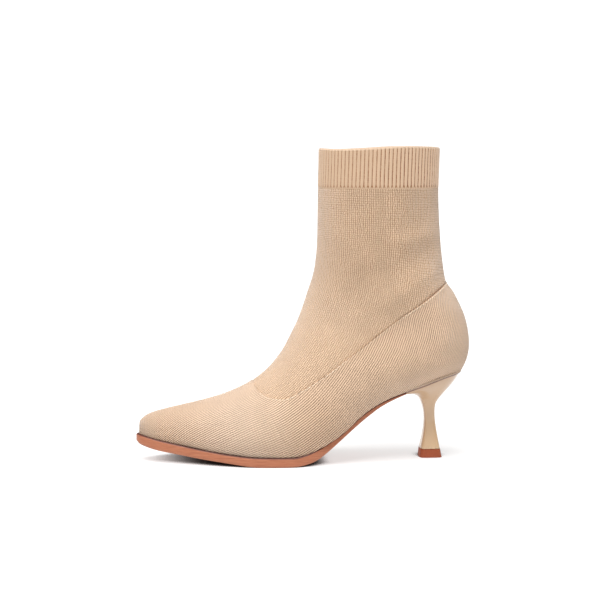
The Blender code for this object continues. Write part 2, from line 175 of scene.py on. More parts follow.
# Outline of the upper where it meets the sole, in plan.
# along: share of the length from the toe tip; lateral and medial: shares of the ball width.
Plan = namedtuple("Plan", "along lateral medial")
PLAN = (
    Plan(0.000, -0.045, 0.045),
    Plan(0.016, 0.050, 0.145),
    Plan(0.040, 0.110, 0.200),
    Plan(0.080, 0.180, 0.262),
    Plan(0.140, 0.272, 0.340),
    Plan(0.207, 0.370, 0.410),
    Plan(0.280, 0.453, 0.462),
    Plan(0.360, 0.506, 0.490),
    Plan(0.440, 0.522, 0.470),
    Plan(0.510, 0.495, 0.415),
    Plan(0.580, 0.442, 0.364),
    Plan(0.660, 0.390, 0.328),
    Plan(0.740, 0.351, 0.320),
    Plan(0.820, 0.337, 0.329),
    Plan(0.885, 0.325, 0.325),
    Plan(0.935, 0.272, 0.272),
    Plan(0.965, 0.188, 0.188),
    Plan(0.976, 0.000, 0.000),
)

# Side view of the seat that the upper stands on.
# along: share of the length from the toe tip; up: share of the heel height.
Seat = namedtuple("Seat", "along up")
SEAT = (
    Seat(-0.010, 0.318),
    Seat(0.020, 0.296),
    Seat(0.060, 0.264),
    Seat(0.108, 0.232),
    Seat(0.175, 0.191),
    Seat(0.270, 0.142),
    Seat(0.350, 0.117),
    Seat(0.455, 0.112),
    Seat(0.490, 0.139),
    Seat(0.530, 0.194),
    Seat(0.562, 0.255),
    Seat(0.600, 0.345),
    Seat(0.665, 0.558),
    Seat(0.715, 0.682),
    Seat(0.770, 0.772),
    Seat(0.840, 0.862),
    Seat(0.940, 0.985),
    Seat(1.000, 1.015),
)

# Cross-sections of the last, fanned round the instep from the toe to the collar.
# back and front: shares of the length; back_up and front_up: shares of the collar height, where
# a back_up of None lies on the seat; lateral and medial: widest reach in shares of the ball
# width; widest: how far from back to front the widest place is; crown and heel: roundness of the
# front and back half (2 is an ellipse); proud: millimetres the heel counter stands off the line
# of the leg; steps: rows up to the next section.
Section = namedtuple(
    "Section",
    "back back_up front front_up lateral medial widest crown heel proud steps",
)
SECTIONS = (
    Section(0.000, None, 0.001, 0.115, 0.000, 0.000, 0.30, 2.0, 2.0, 0.0, 1),
    Section(0.003, None, 0.003, 0.125, 0.000, 0.000, 0.28, 2.0, 2.0, 0.0, 1),
    Section(0.010, None, 0.010, 0.135, 0.000, 0.000, 0.26, 2.0, 2.0, 0.0, 1),
    Section(0.024, None, 0.024, 0.146, 0.000, 0.000, 0.24, 2.0, 2.0, 0.0, 2),
    Section(0.056, None, 0.057, 0.159, 0.000, 0.000, 0.22, 2.0, 2.0, 0.0, 2),
    Section(0.120, None, 0.116, 0.174, 0.260, 0.332, 0.22, 2.0, 2.0, 0.0, 2),
    Section(0.191, None, 0.183, 0.190, 0.372, 0.416, 0.22, 2.0, 2.0, 0.0, 2),
    Section(0.279, None, 0.251, 0.210, 0.480, 0.490, 0.22, 2.0, 2.0, 0.0, 2),
    Section(0.382, None, 0.315, 0.239, 0.545, 0.517, 0.23, 1.95, 2.0, 0.0, 2),
    Section(0.478, None, 0.358, 0.266, 0.545, 0.495, 0.26, 1.9, 2.0, 0.0, 2),
    Section(0.550, None, 0.389, 0.294, 0.525, 0.480, 0.30, 1.9, 2.0, 0.0, 2),
    Section(0.618, None, 0.414, 0.324, 0.500, 0.462, 0.33, 1.9, 2.0, 0.0, 2),
    Section(0.693, None, 0.436, 0.357, 0.474, 0.444, 0.36, 1.9, 2.0, 0.0, 2),
    Section(0.785, None, 0.458, 0.402, 0.450, 0.430, 0.38, 1.95, 2.1, 0.0, 2),
    Section(0.884, None, 0.477, 0.443, 0.430, 0.418, 0.40, 2.0, 2.35, 0.0, 5),
    Section(0.976, None, 0.494, 0.490, 0.419, 0.411, 0.42, 2.0, 2.6, 0.0, 2),
    Section(0.976, None, 0.501, 0.512, 0.417, 0.410, 0.42, 2.0, 2.6, 0.0, 2),
    Section(0.992, 0.320, 0.508, 0.535, 0.416, 0.409, 0.43, 2.0, 2.6, 0.0, 1),
    Section(0.996, 0.360, 0.515, 0.557, 0.415, 0.409, 0.43, 2.0, 2.6, 0.3, 2),
    Section(0.987, 0.433, 0.525, 0.590, 0.416, 0.410, 0.44, 2.0, 2.5, 1.4, 2),
    Section(0.952, 0.513, 0.532, 0.625, 0.418, 0.412, 0.46, 2.0, 2.35, 3.0, 1),
    Section(0.940, 0.546, 0.534, 0.643, 0.420, 0.415, 0.47, 2.0, 2.27, 1.6, 1),
    Section(0.927, 0.580, 0.536, 0.661, 0.422, 0.418, 0.48, 2.0, 2.2, -0.8, 2),
    Section(0.914, 0.682, 0.539, 0.712, 0.428, 0.424, 0.50, 2.0, 2.1, 0.0, 2),
    Section(0.908, 0.763, 0.540, 0.780, 0.430, 0.430, 0.50, 2.0, 2.0, 0.0, 2),
    Section(0.905, 0.870, 0.541, 0.876, 0.436, 0.436, 0.50, 2.0, 2.0, 0.0, 2),
    Section(0.906, 0.940, 0.543, 0.940, 0.442, 0.442, 0.50, 2.0, 2.0, 0.0, 2),
    Section(0.908, 1.000, 0.544, 1.000, 0.448, 0.448, 0.50, 2.0, 2.0, 0.0, 0),
)

# Seam between foot and leg in side view: along in shares of the length, up in shares of the
# collar height. The first and last points lie outside the boot.
Seam = namedtuple("Seam", "along up")
SEAM = (
    Seam(0.322, 0.305),
    Seam(0.335, 0.272),
    Seam(0.342, 0.257),
    Seam(0.348, 0.242),
    Seam(0.360, 0.228),
    Seam(0.374, 0.219),
    Seam(0.390, 0.214),
    Seam(0.408, 0.212),
    Seam(0.428, 0.212),
    Seam(0.448, 0.219),
    Seam(0.478, 0.236),
    Seam(0.521, 0.264),
    Seam(0.566, 0.296),
    Seam(0.611, 0.332),
    Seam(0.656, 0.365),
    Seam(0.701, 0.403),
    Seam(0.747, 0.441),
    Seam(0.794, 0.477),
    Seam(0.842, 0.510),
    Seam(0.879, 0.537),
    Seam(0.908, 0.558),
    Seam(0.925, 0.569),
    Seam(0.960, 0.588),
    Seam(1.060, 0.640),
)

# The toe tip and the last's centre line in the frame
TOE_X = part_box("upper")[0].x
CENTRE_Y = (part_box("top_lift")[0].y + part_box("top_lift")[1].y) / 2


def column(table, name):
    """One named column of a table as an array."""
    return np.array([getattr(row, name) for row in table], dtype=float)


def smooth(keys, values, at):
    """Curve through the table that never overshoots, so equal neighbours stay level."""
    keys = np.asarray(keys, dtype=float)
    values = np.asarray(values, dtype=float)
    gap = np.diff(keys)
    rate = np.diff(values) / gap
    slope = np.zeros(len(keys))
    slope[0] = rate[0]
    slope[-1] = rate[-1]
    for i in range(1, len(keys) - 1):
        if rate[i - 1] * rate[i] > 0:
            before = 2 * gap[i] + gap[i - 1]
            after = gap[i] + 2 * gap[i - 1]
            slope[i] = (before + after) / (before / rate[i - 1] + after / rate[i])
    at = np.clip(np.asarray(at, dtype=float), keys[0], keys[-1])
    i = np.clip(np.searchsorted(keys, at, side="right") - 1, 0, len(gap) - 1)
    t = (at - keys[i]) / gap[i]
    rise = values[i + 1] - values[i]
    return (
        values[i]
        + rise * (3 * t**2 - 2 * t**3)
        + gap[i] * slope[i] * (t - 2 * t**2 + t**3)
        + gap[i] * slope[i + 1] * (t**3 - t**2)
    )


def seat_height(along):
    """Height of the seat at a share of the length."""
    return HEEL_HEIGHT * smooth(column(SEAT, "along"), column(SEAT, "up"), along)


def plan_reach(along, side):
    """Distance from the centre line to the upper's bottom edge at a share of the length."""
    end = PLAN[-1].along

    def stretched(share):
        return np.arccos(1 - 2 * np.clip(np.asarray(share) / end, 0, 1))

    return BALL_WIDTH * smooth(stretched(column(PLAN, "along")), column(PLAN, side),
                               stretched(along))


def running(steps):
    """Distance run at each point of a line, from the steps between its points."""
    return np.concatenate(([0.0], np.cumsum(steps)))


# Where the fan closes up at the back of the seat, the rows of the knit keep at least this share
# of their spacing in front
LEAST_BACK_STEP = 0.8


def section_rows(with_counter):
    """Every column of the section table sampled along the fan, and which rows are closed."""
    back = column(SECTIONS, "back") * LENGTH
    front = column(SECTIONS, "front") * LENGTH
    front_up = column(SECTIONS, "front_up") * COLLAR_HEIGHT
    back_up = np.array([
        seat_height(row.back) if row.back_up is None else row.back_up * COLLAR_HEIGHT
        for row in SECTIONS
    ])
    back_step = np.hypot(np.diff(back), np.diff(back_up))
    front_step = np.hypot(np.diff(front), np.diff(front_up))
    chord = 0.5 * (back_step + front_step)
    run = running(chord)
    knit_step = 0.5 * (np.maximum(back_step, LEAST_BACK_STEP * front_step) + front_step)
    if with_counter:
        back = back + column(SECTIONS, "proud")
    at = []
    for i, row in enumerate(SECTIONS[:-1]):
        at.extend(run[i] + np.arange(row.steps) / row.steps * chord[i])
    at = np.array(at + [run[-1]])
    lines = {name: column(SECTIONS, name)
             for name in ("lateral", "medial", "widest", "crown", "heel")}
    lines.update(back=back, back_up=back_up, front=front, front_up=front_up,
                 knit_run=running(knit_step))
    rows = {name: smooth(run, values, at) for name, values in lines.items()}
    corner = [i for i, row in enumerate(SECTIONS) if row.back == PLAN[-1].along]
    on_seat = at <= run[corner[-1]] + HAIR
    rows["back_up"] = np.where(on_seat, seat_height(rows["back"] / LENGTH), rows["back_up"])
    rows["closed"] = at >= run[corner[0]] - HAIR
    return rows


# The toe has swung back to the centre line at TOE_SWING_END of the length, and the swell over the
# sole edge is full at one part in SWELL_RATE of it. About TURN_ROWS rows each way from the back of
# the seat are evened out, by smoothing and pushing back a little in turn so that nothing shrinks.
TOE_SWING_END = 0.35
SWELL_RATE = 20
TURN_ROWS = 4.0
EVENING = (1.0, -0.7) * 5


def last_net(with_counter):
    """Net of points on the last: rows along the fan, columns from the lateral bottom edge over
    the ridge to the medial bottom edge, with the rows evened out round the back of the seat."""
    rows = section_rows(with_counter)
    count = len(rows["knit_run"])
    net = np.zeros((count, 2 * SIDE + 1, 3))
    toe_swing = PLAN[0].medial * BALL_WIDTH
    for r in range(count):
        start = np.array([rows["back"][r], rows["back_up"][r]])
        end = np.array([rows["front"][r], rows["front_up"][r]])
        height = np.linalg.norm(end - start)
        direction = (end - start) / height
        share = rows["back"][r] / LENGTH
        widest = rows["widest"][r] * height
        ridge = toe_swing * max(0.0, 1 - share / TOE_SWING_END)
        power = 2 / rows["crown"][r]
        heel = rows["heel"][r]
        for sign, name in SIDE_NAMES.items():
            edge = 0.0 if rows["closed"][r] else float(plan_reach(share, name))
            middle = sign * ridge
            swell = LEAST_SWELL * min(1.0, SWELL_RATE * share)
            reach = max(rows[name][r] * BALL_WIDTH, edge + swell)
            for k in range(SIDE + 1):
                if k < SIDE_STEPS:
                    left = np.cos(np.pi / 2 * k / SIDE_STEPS)
                    h = widest * (1 - left)
                    near = max(0.0, edge - middle)**heel * left**heel
                    far = (reach - middle)**heel * (1 - left**heel)
                    out = middle + (near + far)**(1 / heel)
                else:
                    angle = np.pi / 2 * (k - SIDE_STEPS) / CROWN_STEPS
                    h = widest + (height - widest) * np.sin(angle)**power
                    out = middle + (reach - middle) * max(0.0, np.cos(angle))**power
                x, z = start + direction * h
                net[r, k if sign < 0 else 2 * SIDE - k] = (x, sign * out, z)
    net[0, :, 1] = toe_swing

    turn = np.argmax(rows["closed"])
    near = np.exp(-((np.arange(count) - turn) / TURN_ROWS)**2)
    across = np.arange(2 * SIDE + 1)
    from_edge = np.minimum(across, across[::-1])
    fade = np.clip(1 - (from_edge - 1) / (SIDE_STEPS + 2), 0, 1) * (from_edge > 0)
    weight = (near[:, None] * fade[None, :])[1:-1, :, None]
    for strength in EVENING:
        evened = 0.5 * net[1:-1] + 0.25 * (net[:-2] + net[2:])
        net[1:-1] += strength * weight * (evened - net[1:-1])
    return net, rows


def padded_net(net, closed):
    """The net with one more row and column all round, so that a spline reaches its edges: wrapped
    round the toe and the closed back, and straight on at the open edges."""
    first = np.where(closed[:, None], net[:, -2], 2 * net[:, 0] - net[:, 1])
    last = np.where(closed[:, None], net[:, 1], 2 * net[:, -1] - net[:, -2])
    wide = np.concatenate((first[:, None], net, last[:, None]), axis=1)
    before_toe = wide[1:2, ::-1]
    after_collar = 2 * wide[-1:] - wide[-2:-1]
    return np.concatenate((before_toe, wide, after_collar), axis=0)


FIT_PASSES = 5


def fitted_net(net, closed):
    """A padded net whose smooth surface runs through the points of the given net."""
    control = net
    for _ in range(FIT_PASSES):
        padded = padded_net(control, closed)
        made = (padded[:-2] + 4 * padded[1:-1] + padded[2:]) / 6
        made = (made[:, :-2] + 4 * made[:, 1:-1] + made[:, 2:]) / 6
        control = control + net - made
    return padded_net(control, closed)


def spline(padded, row, col):
    """Points of the smooth cubic surface of a padded net at fractional rows and columns."""
    row = np.clip(row, 0, padded.shape[0] - 3 - HAIR)
    col = np.clip(col, 0, padded.shape[1] - 3 - HAIR)

    def weights(t):
        return ((1 - t)**3 / 6, (3 * t**3 - 6 * t**2 + 4) / 6,
                (-3 * t**3 + 3 * t**2 + 3 * t + 1) / 6, t**3 / 6)

    i = row.astype(int)
    j = col.astype(int)
    made = 0.0
    for a, along in enumerate(weights(row - i)):
        for b, across in enumerate(weights(col - j)):
            made = made + (along * across)[..., None] * padded[i + a, j + b]
    return made


def length_along(line):
    """Distance run along a line at each of its points."""
    return running(np.linalg.norm(np.diff(line, axis=0), axis=1))


SEAM_POINTS = 240
seam_knots = np.stack((column(SEAM, "along") * LENGTH, column(SEAM, "up") * COLLAR_HEIGHT))
seam_run = length_along(seam_knots.T)
seam_at = np.linspace(0, seam_run[-1], SEAM_POINTS)
seam_line = np.stack([smooth(seam_run, knots, seam_at) for knots in seam_knots], axis=1)


def beyond_seam(points):
    """Distance of points from the seam in side view, positive on the leg's side."""
    flat = np.asarray(points)[..., (0, 2)].reshape(-1, 1, 2)
    start = seam_line[:-1]
    step = np.diff(seam_line, axis=0)
    share = np.clip(((flat - start) * step).sum(-1) / (step**2).sum(-1), 0, 1)
    gap = flat - start - share[..., None] * step
    distance = np.linalg.norm(gap, axis=-1)
    nearest = np.argmin(distance, axis=1)
    pick = np.arange(len(flat))
    side = step[nearest, 0] * gap[pick, nearest, 1] - step[nearest, 1] * gap[pick, nearest, 0]
    return (np.sign(side) * distance[pick, nearest]).reshape(np.shape(points)[:-1])


HALVINGS = 40


def crossing(low, high, past):
    """Where a test turns from false to true between two values, for each item of an array."""
    for _ in range(HALVINGS):
        middle = (low + high) / 2
        beyond = past(middle)
        high = np.where(beyond, middle, high)
        low = np.where(beyond, low, middle)
    return (low + high) / 2


SEAM_ROWS = 110


def rows_by_seam(padded):
    """Rows of a net from where the seam crosses the ridge to where it meets the line down the
    back, closer together toward both."""
    col = np.array((float(SIDE), 0.0))
    last_row = np.full(2, padded.shape[0] - 3.0)
    instep, counter = crossing(np.zeros(2), last_row,
                               lambda row: beyond_seam(spline(padded, row, col)) > 0)
    eased = (1 - np.cos(np.pi * np.linspace(0, 1, SEAM_ROWS + 1))) / 2
    return instep + (counter - instep) * eased


def seam_reach(padded, row, side, inset=0.0):
    """Columns from the ridge down to the seam, or to a line below it, on one side (-1 is lateral)
    of rows that cross it. The seam itself starts on the ridge and ends at the back."""
    full = np.full(len(row), float(SIDE))
    reach = crossing(np.zeros(len(row)), full,
                     lambda off: beyond_seam(spline(padded, row, SIDE + side * off)) < -inset)
    if not inset:
        reach[0] = 0.0
        reach[-1] = SIDE
    return reach


def last_normals(padded, row, col):
    """Unit normals of the smooth surface, pointing out of the boot."""
    step = 0.05
    along = spline(padded, row + step, col) - spline(padded, row - step, col)
    across = spline(padded, row, col + step) - spline(padded, row, col - step)
    normal = np.cross(along, across)
    return normal / np.maximum(np.linalg.norm(normal, axis=-1, keepdims=True), 1e-9)


def fan_run(padded, rows, row, col):
    """Knit directions at points of a net: run across the wales from the ridge, and along them."""
    finer = 12
    fine = np.linspace(0, 2 * SIDE, 2 * SIDE * finer + 1)
    every = np.arange(padded.shape[0] - 2, dtype=float)
    lines = spline(padded, *np.meshgrid(every, fine, indexing="ij"))
    step = np.linalg.norm(np.diff(lines, axis=1), axis=2)
    across = np.concatenate((np.zeros((len(every), 1)), np.cumsum(step, axis=1)), axis=1)
    across = (across - across[:, SIDE * finer][:, None])[:, ::finer]
    along = np.broadcast_to(rows["knit_run"][:, None], across.shape)
    run = np.pad(np.stack((across, along), axis=-1), ((1, 1), (1, 1), (0, 0)),
                 mode="reflect", reflect_type="odd")
    return spline(run, row, col)


def in_frame(points):
    """Millimetre points of the last as metres in the frame."""
    return np.asarray(points) * MM + np.array((TOE_X, CENTRE_Y, 0.0))


def grid_piece(name, points, knit_run):
    """A primitive grid whose points are moved to the given places, with the knit directions as
    its UV map, closed where edges meet."""
    count, width = points.shape[:2]
    bpy.ops.object.select_all(action="DESELECT")
    bpy.ops.mesh.primitive_grid_add(x_subdivisions=width - 1, y_subdivisions=count - 1, size=2)
    piece = bpy.context.object
    piece.name = name
    mesh = piece.data
    flat = np.zeros(3 * len(mesh.vertices))
    mesh.vertices.foreach_get("co", flat)
    flat = flat.reshape(-1, 3)
    col = np.rint((flat[:, 0] + 1) / 2 * (width - 1)).astype(int)
    row = np.rint((flat[:, 1] + 1) / 2 * (count - 1)).astype(int)
    mesh.vertices.foreach_set("co", in_frame(points[row, col]).ravel())
    corner = np.zeros(len(mesh.loops), dtype=int)
    mesh.loops.foreach_get("vertex_index", corner)
    layer = mesh.uv_layers[0]
    layer.name = "knit_run"
    layer.uv.foreach_set("vector", knit_run[row[corner], col[corner]].ravel())
    merge_points(MERGE / 2)
    return piece


# Soft creases, each a trough or ridge between two places in side view.
# from_ and to_ are along and up in millimetres; depth is how far it goes in; width is its spread;
# side is -1 on the outer side, 1 on the inner side, 0 on both. The foot has one broad ridge, where
# the counter swells.
Crease = namedtuple("Crease", "from_along from_up to_along to_up depth width side")
FOOT_CREASES = (
    Crease(186, 74, 222, 82, -3.2, 20.0, 0),
)


def creased(points, normal, creases):
    """The points pushed in along each soft crease and out along each ridge."""
    for crease in creases:
        start = np.array((crease.from_along, crease.from_up))
        step = np.array((crease.to_along, crease.to_up)) - start
        flat = points[..., (0, 2)] - start
        share = (flat @ step) / (step @ step)
        gap = np.linalg.norm(flat - np.clip(share, 0, 1)[..., None] * step, axis=-1)
        push = crease.depth * np.exp(-(gap / crease.width)**2)
        if crease.side:
            push = push * (np.sign(points[..., 1]) == crease.side)
        points = points - push[..., None] * normal
    return points


def least_bent(patch, fixed, mirrored):
    """A patch of points with its loose ones placed where the surface bends least. Its last column
    is an edge; in mirrored rows the surface runs on across it to the other half of the boot."""
    count, width = fixed.shape
    number = np.cumsum(~fixed).reshape(fixed.shape) - 1
    laid = patch.copy()
    for axes, reflect in (((0, 2), 1), ((1,), -1)):
        stiffness = np.zeros((number.max() + 1, number.max() + 1))
        load = np.zeros((number.max() + 1, len(axes)))
        for i in range(1, count - 1):
            for j in range(1, width if mirrored[i] else width - 1):
                weights = {(i - 1, j): 1, (i + 1, j): 1, (i, j): -4, (i, j - 1): 1}
                if j < width - 1:
                    weights[i, j + 1] = 1
                else:
                    weights[i, j - 1] += reflect
                loose = [at for at in weights if not fixed[at]]
                held = [at for at in weights if fixed[at]]
                pull = np.array([weights[at] for at in loose])
                rest = -sum(weights[at] * patch[at][list(axes)] for at in held)
                index = np.array([number[at] for at in loose], dtype=int)
                stiffness[np.ix_(index, index)] += np.outer(pull, pull)
                load[index] += pull[:, None] * rest
        placed = np.linalg.solve(stiffness, load)
        for axis, values in zip(axes, placed.T):
            laid[..., axis][~fixed] = values
    return laid


EDGE_STEP = 0.5
EDGE_LEAN = 25.0
EDGE_POINTS = 200
ROWS_BEFORE_CORNER = 8
ROWS_AFTER_CORNER = 6
CORNER_COLS = 44


def points_at(at, run, line):
    """Points at a distance, or at several, along a line whose points have the given run."""
    return np.stack([np.interp(at, run, values) for values in line.T], axis=-1)


def with_round_corner(half, side, row, closed):
    """One half of the foot, its bottom edge last, with the patch at the back of the seat laid anew
    between an edge that follows the seat, the line down the back and the knit around it."""
    pole = np.argmax(closed) + 1
    first, corner, end = np.searchsorted(
        row, (pole - ROWS_BEFORE_CORNER, pole, pole + ROWS_AFTER_CORNER))
    half = half.copy()

    # The edge goes round the seat in even steps, then up the back
    start = half[first, -1, 0] / LENGTH
    slowing = np.sin(np.linspace(0, np.pi / 2, EDGE_POINTS))
    share = start + (PLAN[-1].along - start) * slowing
    aside = side * plan_reach(share, SIDE_NAMES[side])
    around = np.stack((share * LENGTH, aside, seat_height(share)), axis=1)
    run = length_along(around)
    even = np.linspace(0, run[-1], corner - first + 1)
    half[first:corner + 1, -1] = points_at(even, run, around)
    rise = np.linspace(0, 1, end - corner + 1)
    low = half[corner, -1].copy()
    high = half[end, -1].copy()
    up = low[2] + rise * (high[2] - low[2])
    back = [entry for entry in SECTIONS if entry.back_up is not None]
    line_up = np.concatenate(([low[2]], column(back, "back_up") * COLLAR_HEIGHT))
    line = np.concatenate(([low[0]], column(back, "back") * LENGTH + column(back, "proud")))
    bowed = smooth(line_up, line, up)
    half[corner:end + 1, -1, 0] = bowed + rise * (high[0] - bowed[-1])
    half[corner:end + 1, -1, 1] = rise * high[1]
    half[corner:end + 1, -1, 2] = up

    # Beside the edge the knit rises, leaning a little outward
    edge = half[first:corner - 1, -1]
    ahead = half[first + 1:corner, -1] - half[first - 1:corner - 2, -1]
    aside = np.stack((-side * ahead[:, 1], side * ahead[:, 0], 0 * ahead[:, 0]), axis=1)
    aside = aside / np.linalg.norm(aside, axis=1, keepdims=True)
    lean = np.radians(EDGE_LEAN)
    half[first:corner - 1, -2] = edge + EDGE_STEP * (
        np.cos(lean) * np.array((0.0, 0.0, 1.0)) + np.sin(lean) * aside)

    patch = half[first - 2:end + 3, -CORNER_COLS - 3:]
    fixed = np.ones(patch.shape[:2], dtype=bool)
    fixed[2:-2, 2:-1] = False
    fixed[2:corner - first + 1, -2] = True
    mirrored = np.arange(len(patch)) > corner - first + 2
    half[first - 2:end + 3, -CORNER_COLS - 3:] = least_bent(patch, fixed, mirrored)
    return half


TOE_ROWS = 80
FOOT_COLS = 90
EDGE_ROLL = 0.3
EDGE_ROLL_WIDTH = 2.5
FREE_ABOVE_SEAT = 12.0
TOE_FAN = 1.1
TOE_FAN_REACH = 21.0


def give_wall(piece, wall):
    """Thickens a skin of knit inward to its wall in millimetres."""
    apply_modifier(piece, "SOLIDIFY", thickness=wall * MM, offset=-1.0, use_even_offset=False)
    bpy.ops.object.shade_smooth()


foot_net, foot_rows = last_net(with_counter=True)
foot_padded = fitted_net(foot_net, foot_rows["closed"])
foot_by_seam = rows_by_seam(foot_padded)
row = np.concatenate((np.linspace(0, foot_by_seam[0], TOE_ROWS + 1)[:-1], foot_by_seam))
halves = []
for side in SIDE_NAMES:
    top = np.concatenate((np.zeros(TOE_ROWS), seam_reach(foot_padded, foot_by_seam, side)))
    down = np.linspace(0, 1, FOOT_COLS + 1)[::-side]
    foot_col = SIDE + side * (top[:, None] + down[None, :] * (SIDE - top[:, None]))
    foot_row = np.broadcast_to(row[:, None], foot_col.shape)
    points = spline(foot_padded, foot_row, foot_col)
    outward = last_normals(foot_padded, foot_row, foot_col)
    roll = EDGE_ROLL * np.exp(-(beyond_seam(points) / EDGE_ROLL_WIDTH)**2)
    above_seat = points[..., 2] - seat_height(points[..., 0] / LENGTH)
    free = np.clip(above_seat / FREE_ABOVE_SEAT, 0, 1)
    points = creased(points, free[..., None] * outward, FOOT_CREASES) + roll[..., None] * outward
    points = with_round_corner(points[:, ::-side], side, row, foot_rows["closed"])[:, ::-side]
    # The wales are measured down from the ridge or the seam, and fan out from the toe
    knit_run = fan_run(foot_padded, foot_rows, foot_row, foot_col)
    from_top = np.abs(knit_run[:, ::-side, 0])
    steps_down = np.linalg.norm(np.diff(points[:, ::-side], axis=1), axis=2)
    from_top[:, 1:] = from_top[:, :1] + np.cumsum(steps_down, axis=1)
    fanned = TOE_FAN * TOE_FAN_REACH * (1 - np.exp(-knit_run[..., 1] / TOE_FAN_REACH))
    knit_run[..., 0] = from_top[:, ::-side] + fanned
    halves.append(grid_piece("knit_foot", points, knit_run))
for half in halves:
    half.select_set(True)
bpy.ops.object.join()
foot = bpy.context.object
merge_points(MERGE)
foot.name = "knit_foot"
give_wall(foot, FOOT_WALL)

# The rolled edge of the insole presses against the knit all round
FACE_OF_INSOLE = 0.8
INSOLE_FROM = 1.0
INSOLE_TO = 241.0


def seat_slope(along):
    """Rise of the seat, in millimetres for each millimetre along."""
    step = 0.5
    ahead = seat_height((along + step) / LENGTH)
    behind = seat_height((along - step) / LENGTH)
    return (ahead - behind) / (2 * step)


rolled = insole.vertex_groups.new(name="rolled_edge")
for vertex in insole.data.vertices:
    rise = seat_slope(np.clip((vertex.co.x - TOE_X) / MM, INSOLE_FROM, INSOLE_TO))
    square = Vector((-rise, 0.0, 1.0)).normalized()
    if abs(vertex.normal.dot(square)) < FACE_OF_INSOLE:
        rolled.add([vertex.index], 1.0, "REPLACE")
apply_modifier(insole, "SHRINKWRAP", target=foot, vertex_group="rolled_edge")
insole.vertex_groups.clear()


# How deep the painted shade in the gaps of a knit is, first at one height and last at another
GapShade = namedtuple("GapShade", "from_up to_up first last")

# Where a knit carries a paler painted highlight: a place in millimetres of the frame, how far round
# it that reaches, and the share that the paler colour has there
PaintedHighlight = namedtuple("PaintedHighlight", "place reach share colour")

# Stitches sway over 3 mm; the fuzz of the yarn is about 1.1 mm across, and the clouds in its dye
# about 18 mm, as turns in a metre
SWAY = 3 * MM
FUZZ_TURNS = 900.0
CLOUD_TURNS = 55.0
WALE_ROUNDNESS = 2.4
COURSE_ROUNDNESS = 2.0


def knit_material(name, wale, course, course_depth, crown, groove_shade, relief, unevenness,
                  gap_shade, highlight):
    """Close knit: rounded wales with painted shade in the gaps between them, made of small
    stitches.

    wale and course are the stitch spacings across and along the knit, relief is how far a wale
    stands out, and unevenness is how far stitches stray from their rows, in millimetres.
    """
    material, tree, shader = new_material(
        name, Roughness=0.88, Specular_IOR_Level=0.25, Sheen_Weight=0.45, Sheen_Roughness=0.4)
    place = add_node(tree, "TexCoord", output="Object")
    sway = add_node(tree, "TexNoise",
                    {"Vector": place, "Scale": 1 / SWAY, "Detail": 2.0}, output="Color")
    centred = add_node(tree, "VectorMath", {0: sway, 1: (0.5, 0.5, 0.5)}, operation="SUBTRACT")
    drift = add_node(tree, "VectorMath", {0: centred, "Scale": unevenness}, operation="SCALE")
    run = add_node(tree, "UVMap", uv_map="knit_run")
    laid = add_node(tree, "VectorMath", {0: run, 1: drift})
    across, along, _ = add_node(tree, "SeparateXYZ", {0: laid}).node.outputs
    # Fall from the middle of a wale and of a stitch: 0 on its crown, 1 in the gap beside it
    falls = []
    for way, spacing, roundness in ((across, wale, WALE_ROUNDNESS),
                                    (along, course, COURSE_ROUNDNESS)):
        swing = add_node(tree, "Math", {0: way, 1: spacing / 2}, operation="PINGPONG")
        off = add_node(tree, "Math", {0: swing, 1: 2 / spacing}, operation="MULTIPLY")
        falls.append(add_node(tree, "Math", {0: off, 1: roundness}, operation="POWER"))
    ridge = add_node(tree, "Math", {0: 1.0, 1: falls[0]}, operation="SUBTRACT")
    cut = add_node(tree, "Math", {0: falls[1], 1: -course_depth, 2: 1.0}, operation="MULTIPLY_ADD")
    height = add_node(tree, "Math", {0: ridge, 1: cut}, operation="MULTIPLY")
    fuzz = add_node(tree, "TexNoise", {"Vector": place, "Scale": FUZZ_TURNS, "Detail": 2.0})
    fuzzy = add_node(tree, "Math", {0: fuzz, 1: 0.3, 2: height}, operation="MULTIPLY_ADD")
    level = add_node(tree, "SeparateXYZ", {0: place}, output="Z")
    gap_shade_strength = add_node(tree, "MapRange",
                      {"Value": level,
                       "From Min": gap_shade.from_up * MM, "From Max": gap_shade.to_up * MM,
                       "To Min": gap_shade.first, "To Max": gap_shade.last})
    # Painted shade: the gaps between wales and stitches take the darker groove colour, as deep as
    # given for each height
    hollow = add_node(tree, "Math", {0: 1.0, 1: height}, operation="SUBTRACT")
    gap = add_node(tree, "Math", {0: hollow, 1: gap_shade_strength}, operation="MULTIPLY")
    tone = add_node(tree, "Mix", {0: gap, 6: linear(crown), 7: linear(groove_shade)},
                    output=2, data_type="RGBA", clamp_factor=False)
    # Painted highlight: a paler colour mixed in round a given place
    away = add_node(tree, "VectorMath", {0: place, 1: tuple(np.array(highlight.place) * MM)},
                    output="Value", operation="DISTANCE")
    highlight_share = add_node(tree, "MapRange",
                       {"Value": away, "From Max": highlight.reach * MM,
                        "To Min": highlight.share, "To Max": 0.0}, interpolation_type="SMOOTHSTEP")
    highlighted = add_node(tree, "Mix", {0: highlight_share, 6: tone, 7: linear(highlight.colour)},
                     output=2, data_type="RGBA")
    cloud = add_node(tree, "TexNoise", {"Vector": place, "Scale": CLOUD_TURNS, "Detail": 3.0})
    shade = add_node(tree, "MapRange",
                     {"Value": cloud, "From Min": 0.3, "From Max": 0.7,
                      "To Min": 0.95, "To Max": 1.04})
    dyed = add_node(tree, "VectorMath", {0: highlighted, "Scale": shade}, operation="SCALE")
    colour_and_grain(tree, shader, dyed, fuzzy, strength=1.0, depth=relief)
    return material


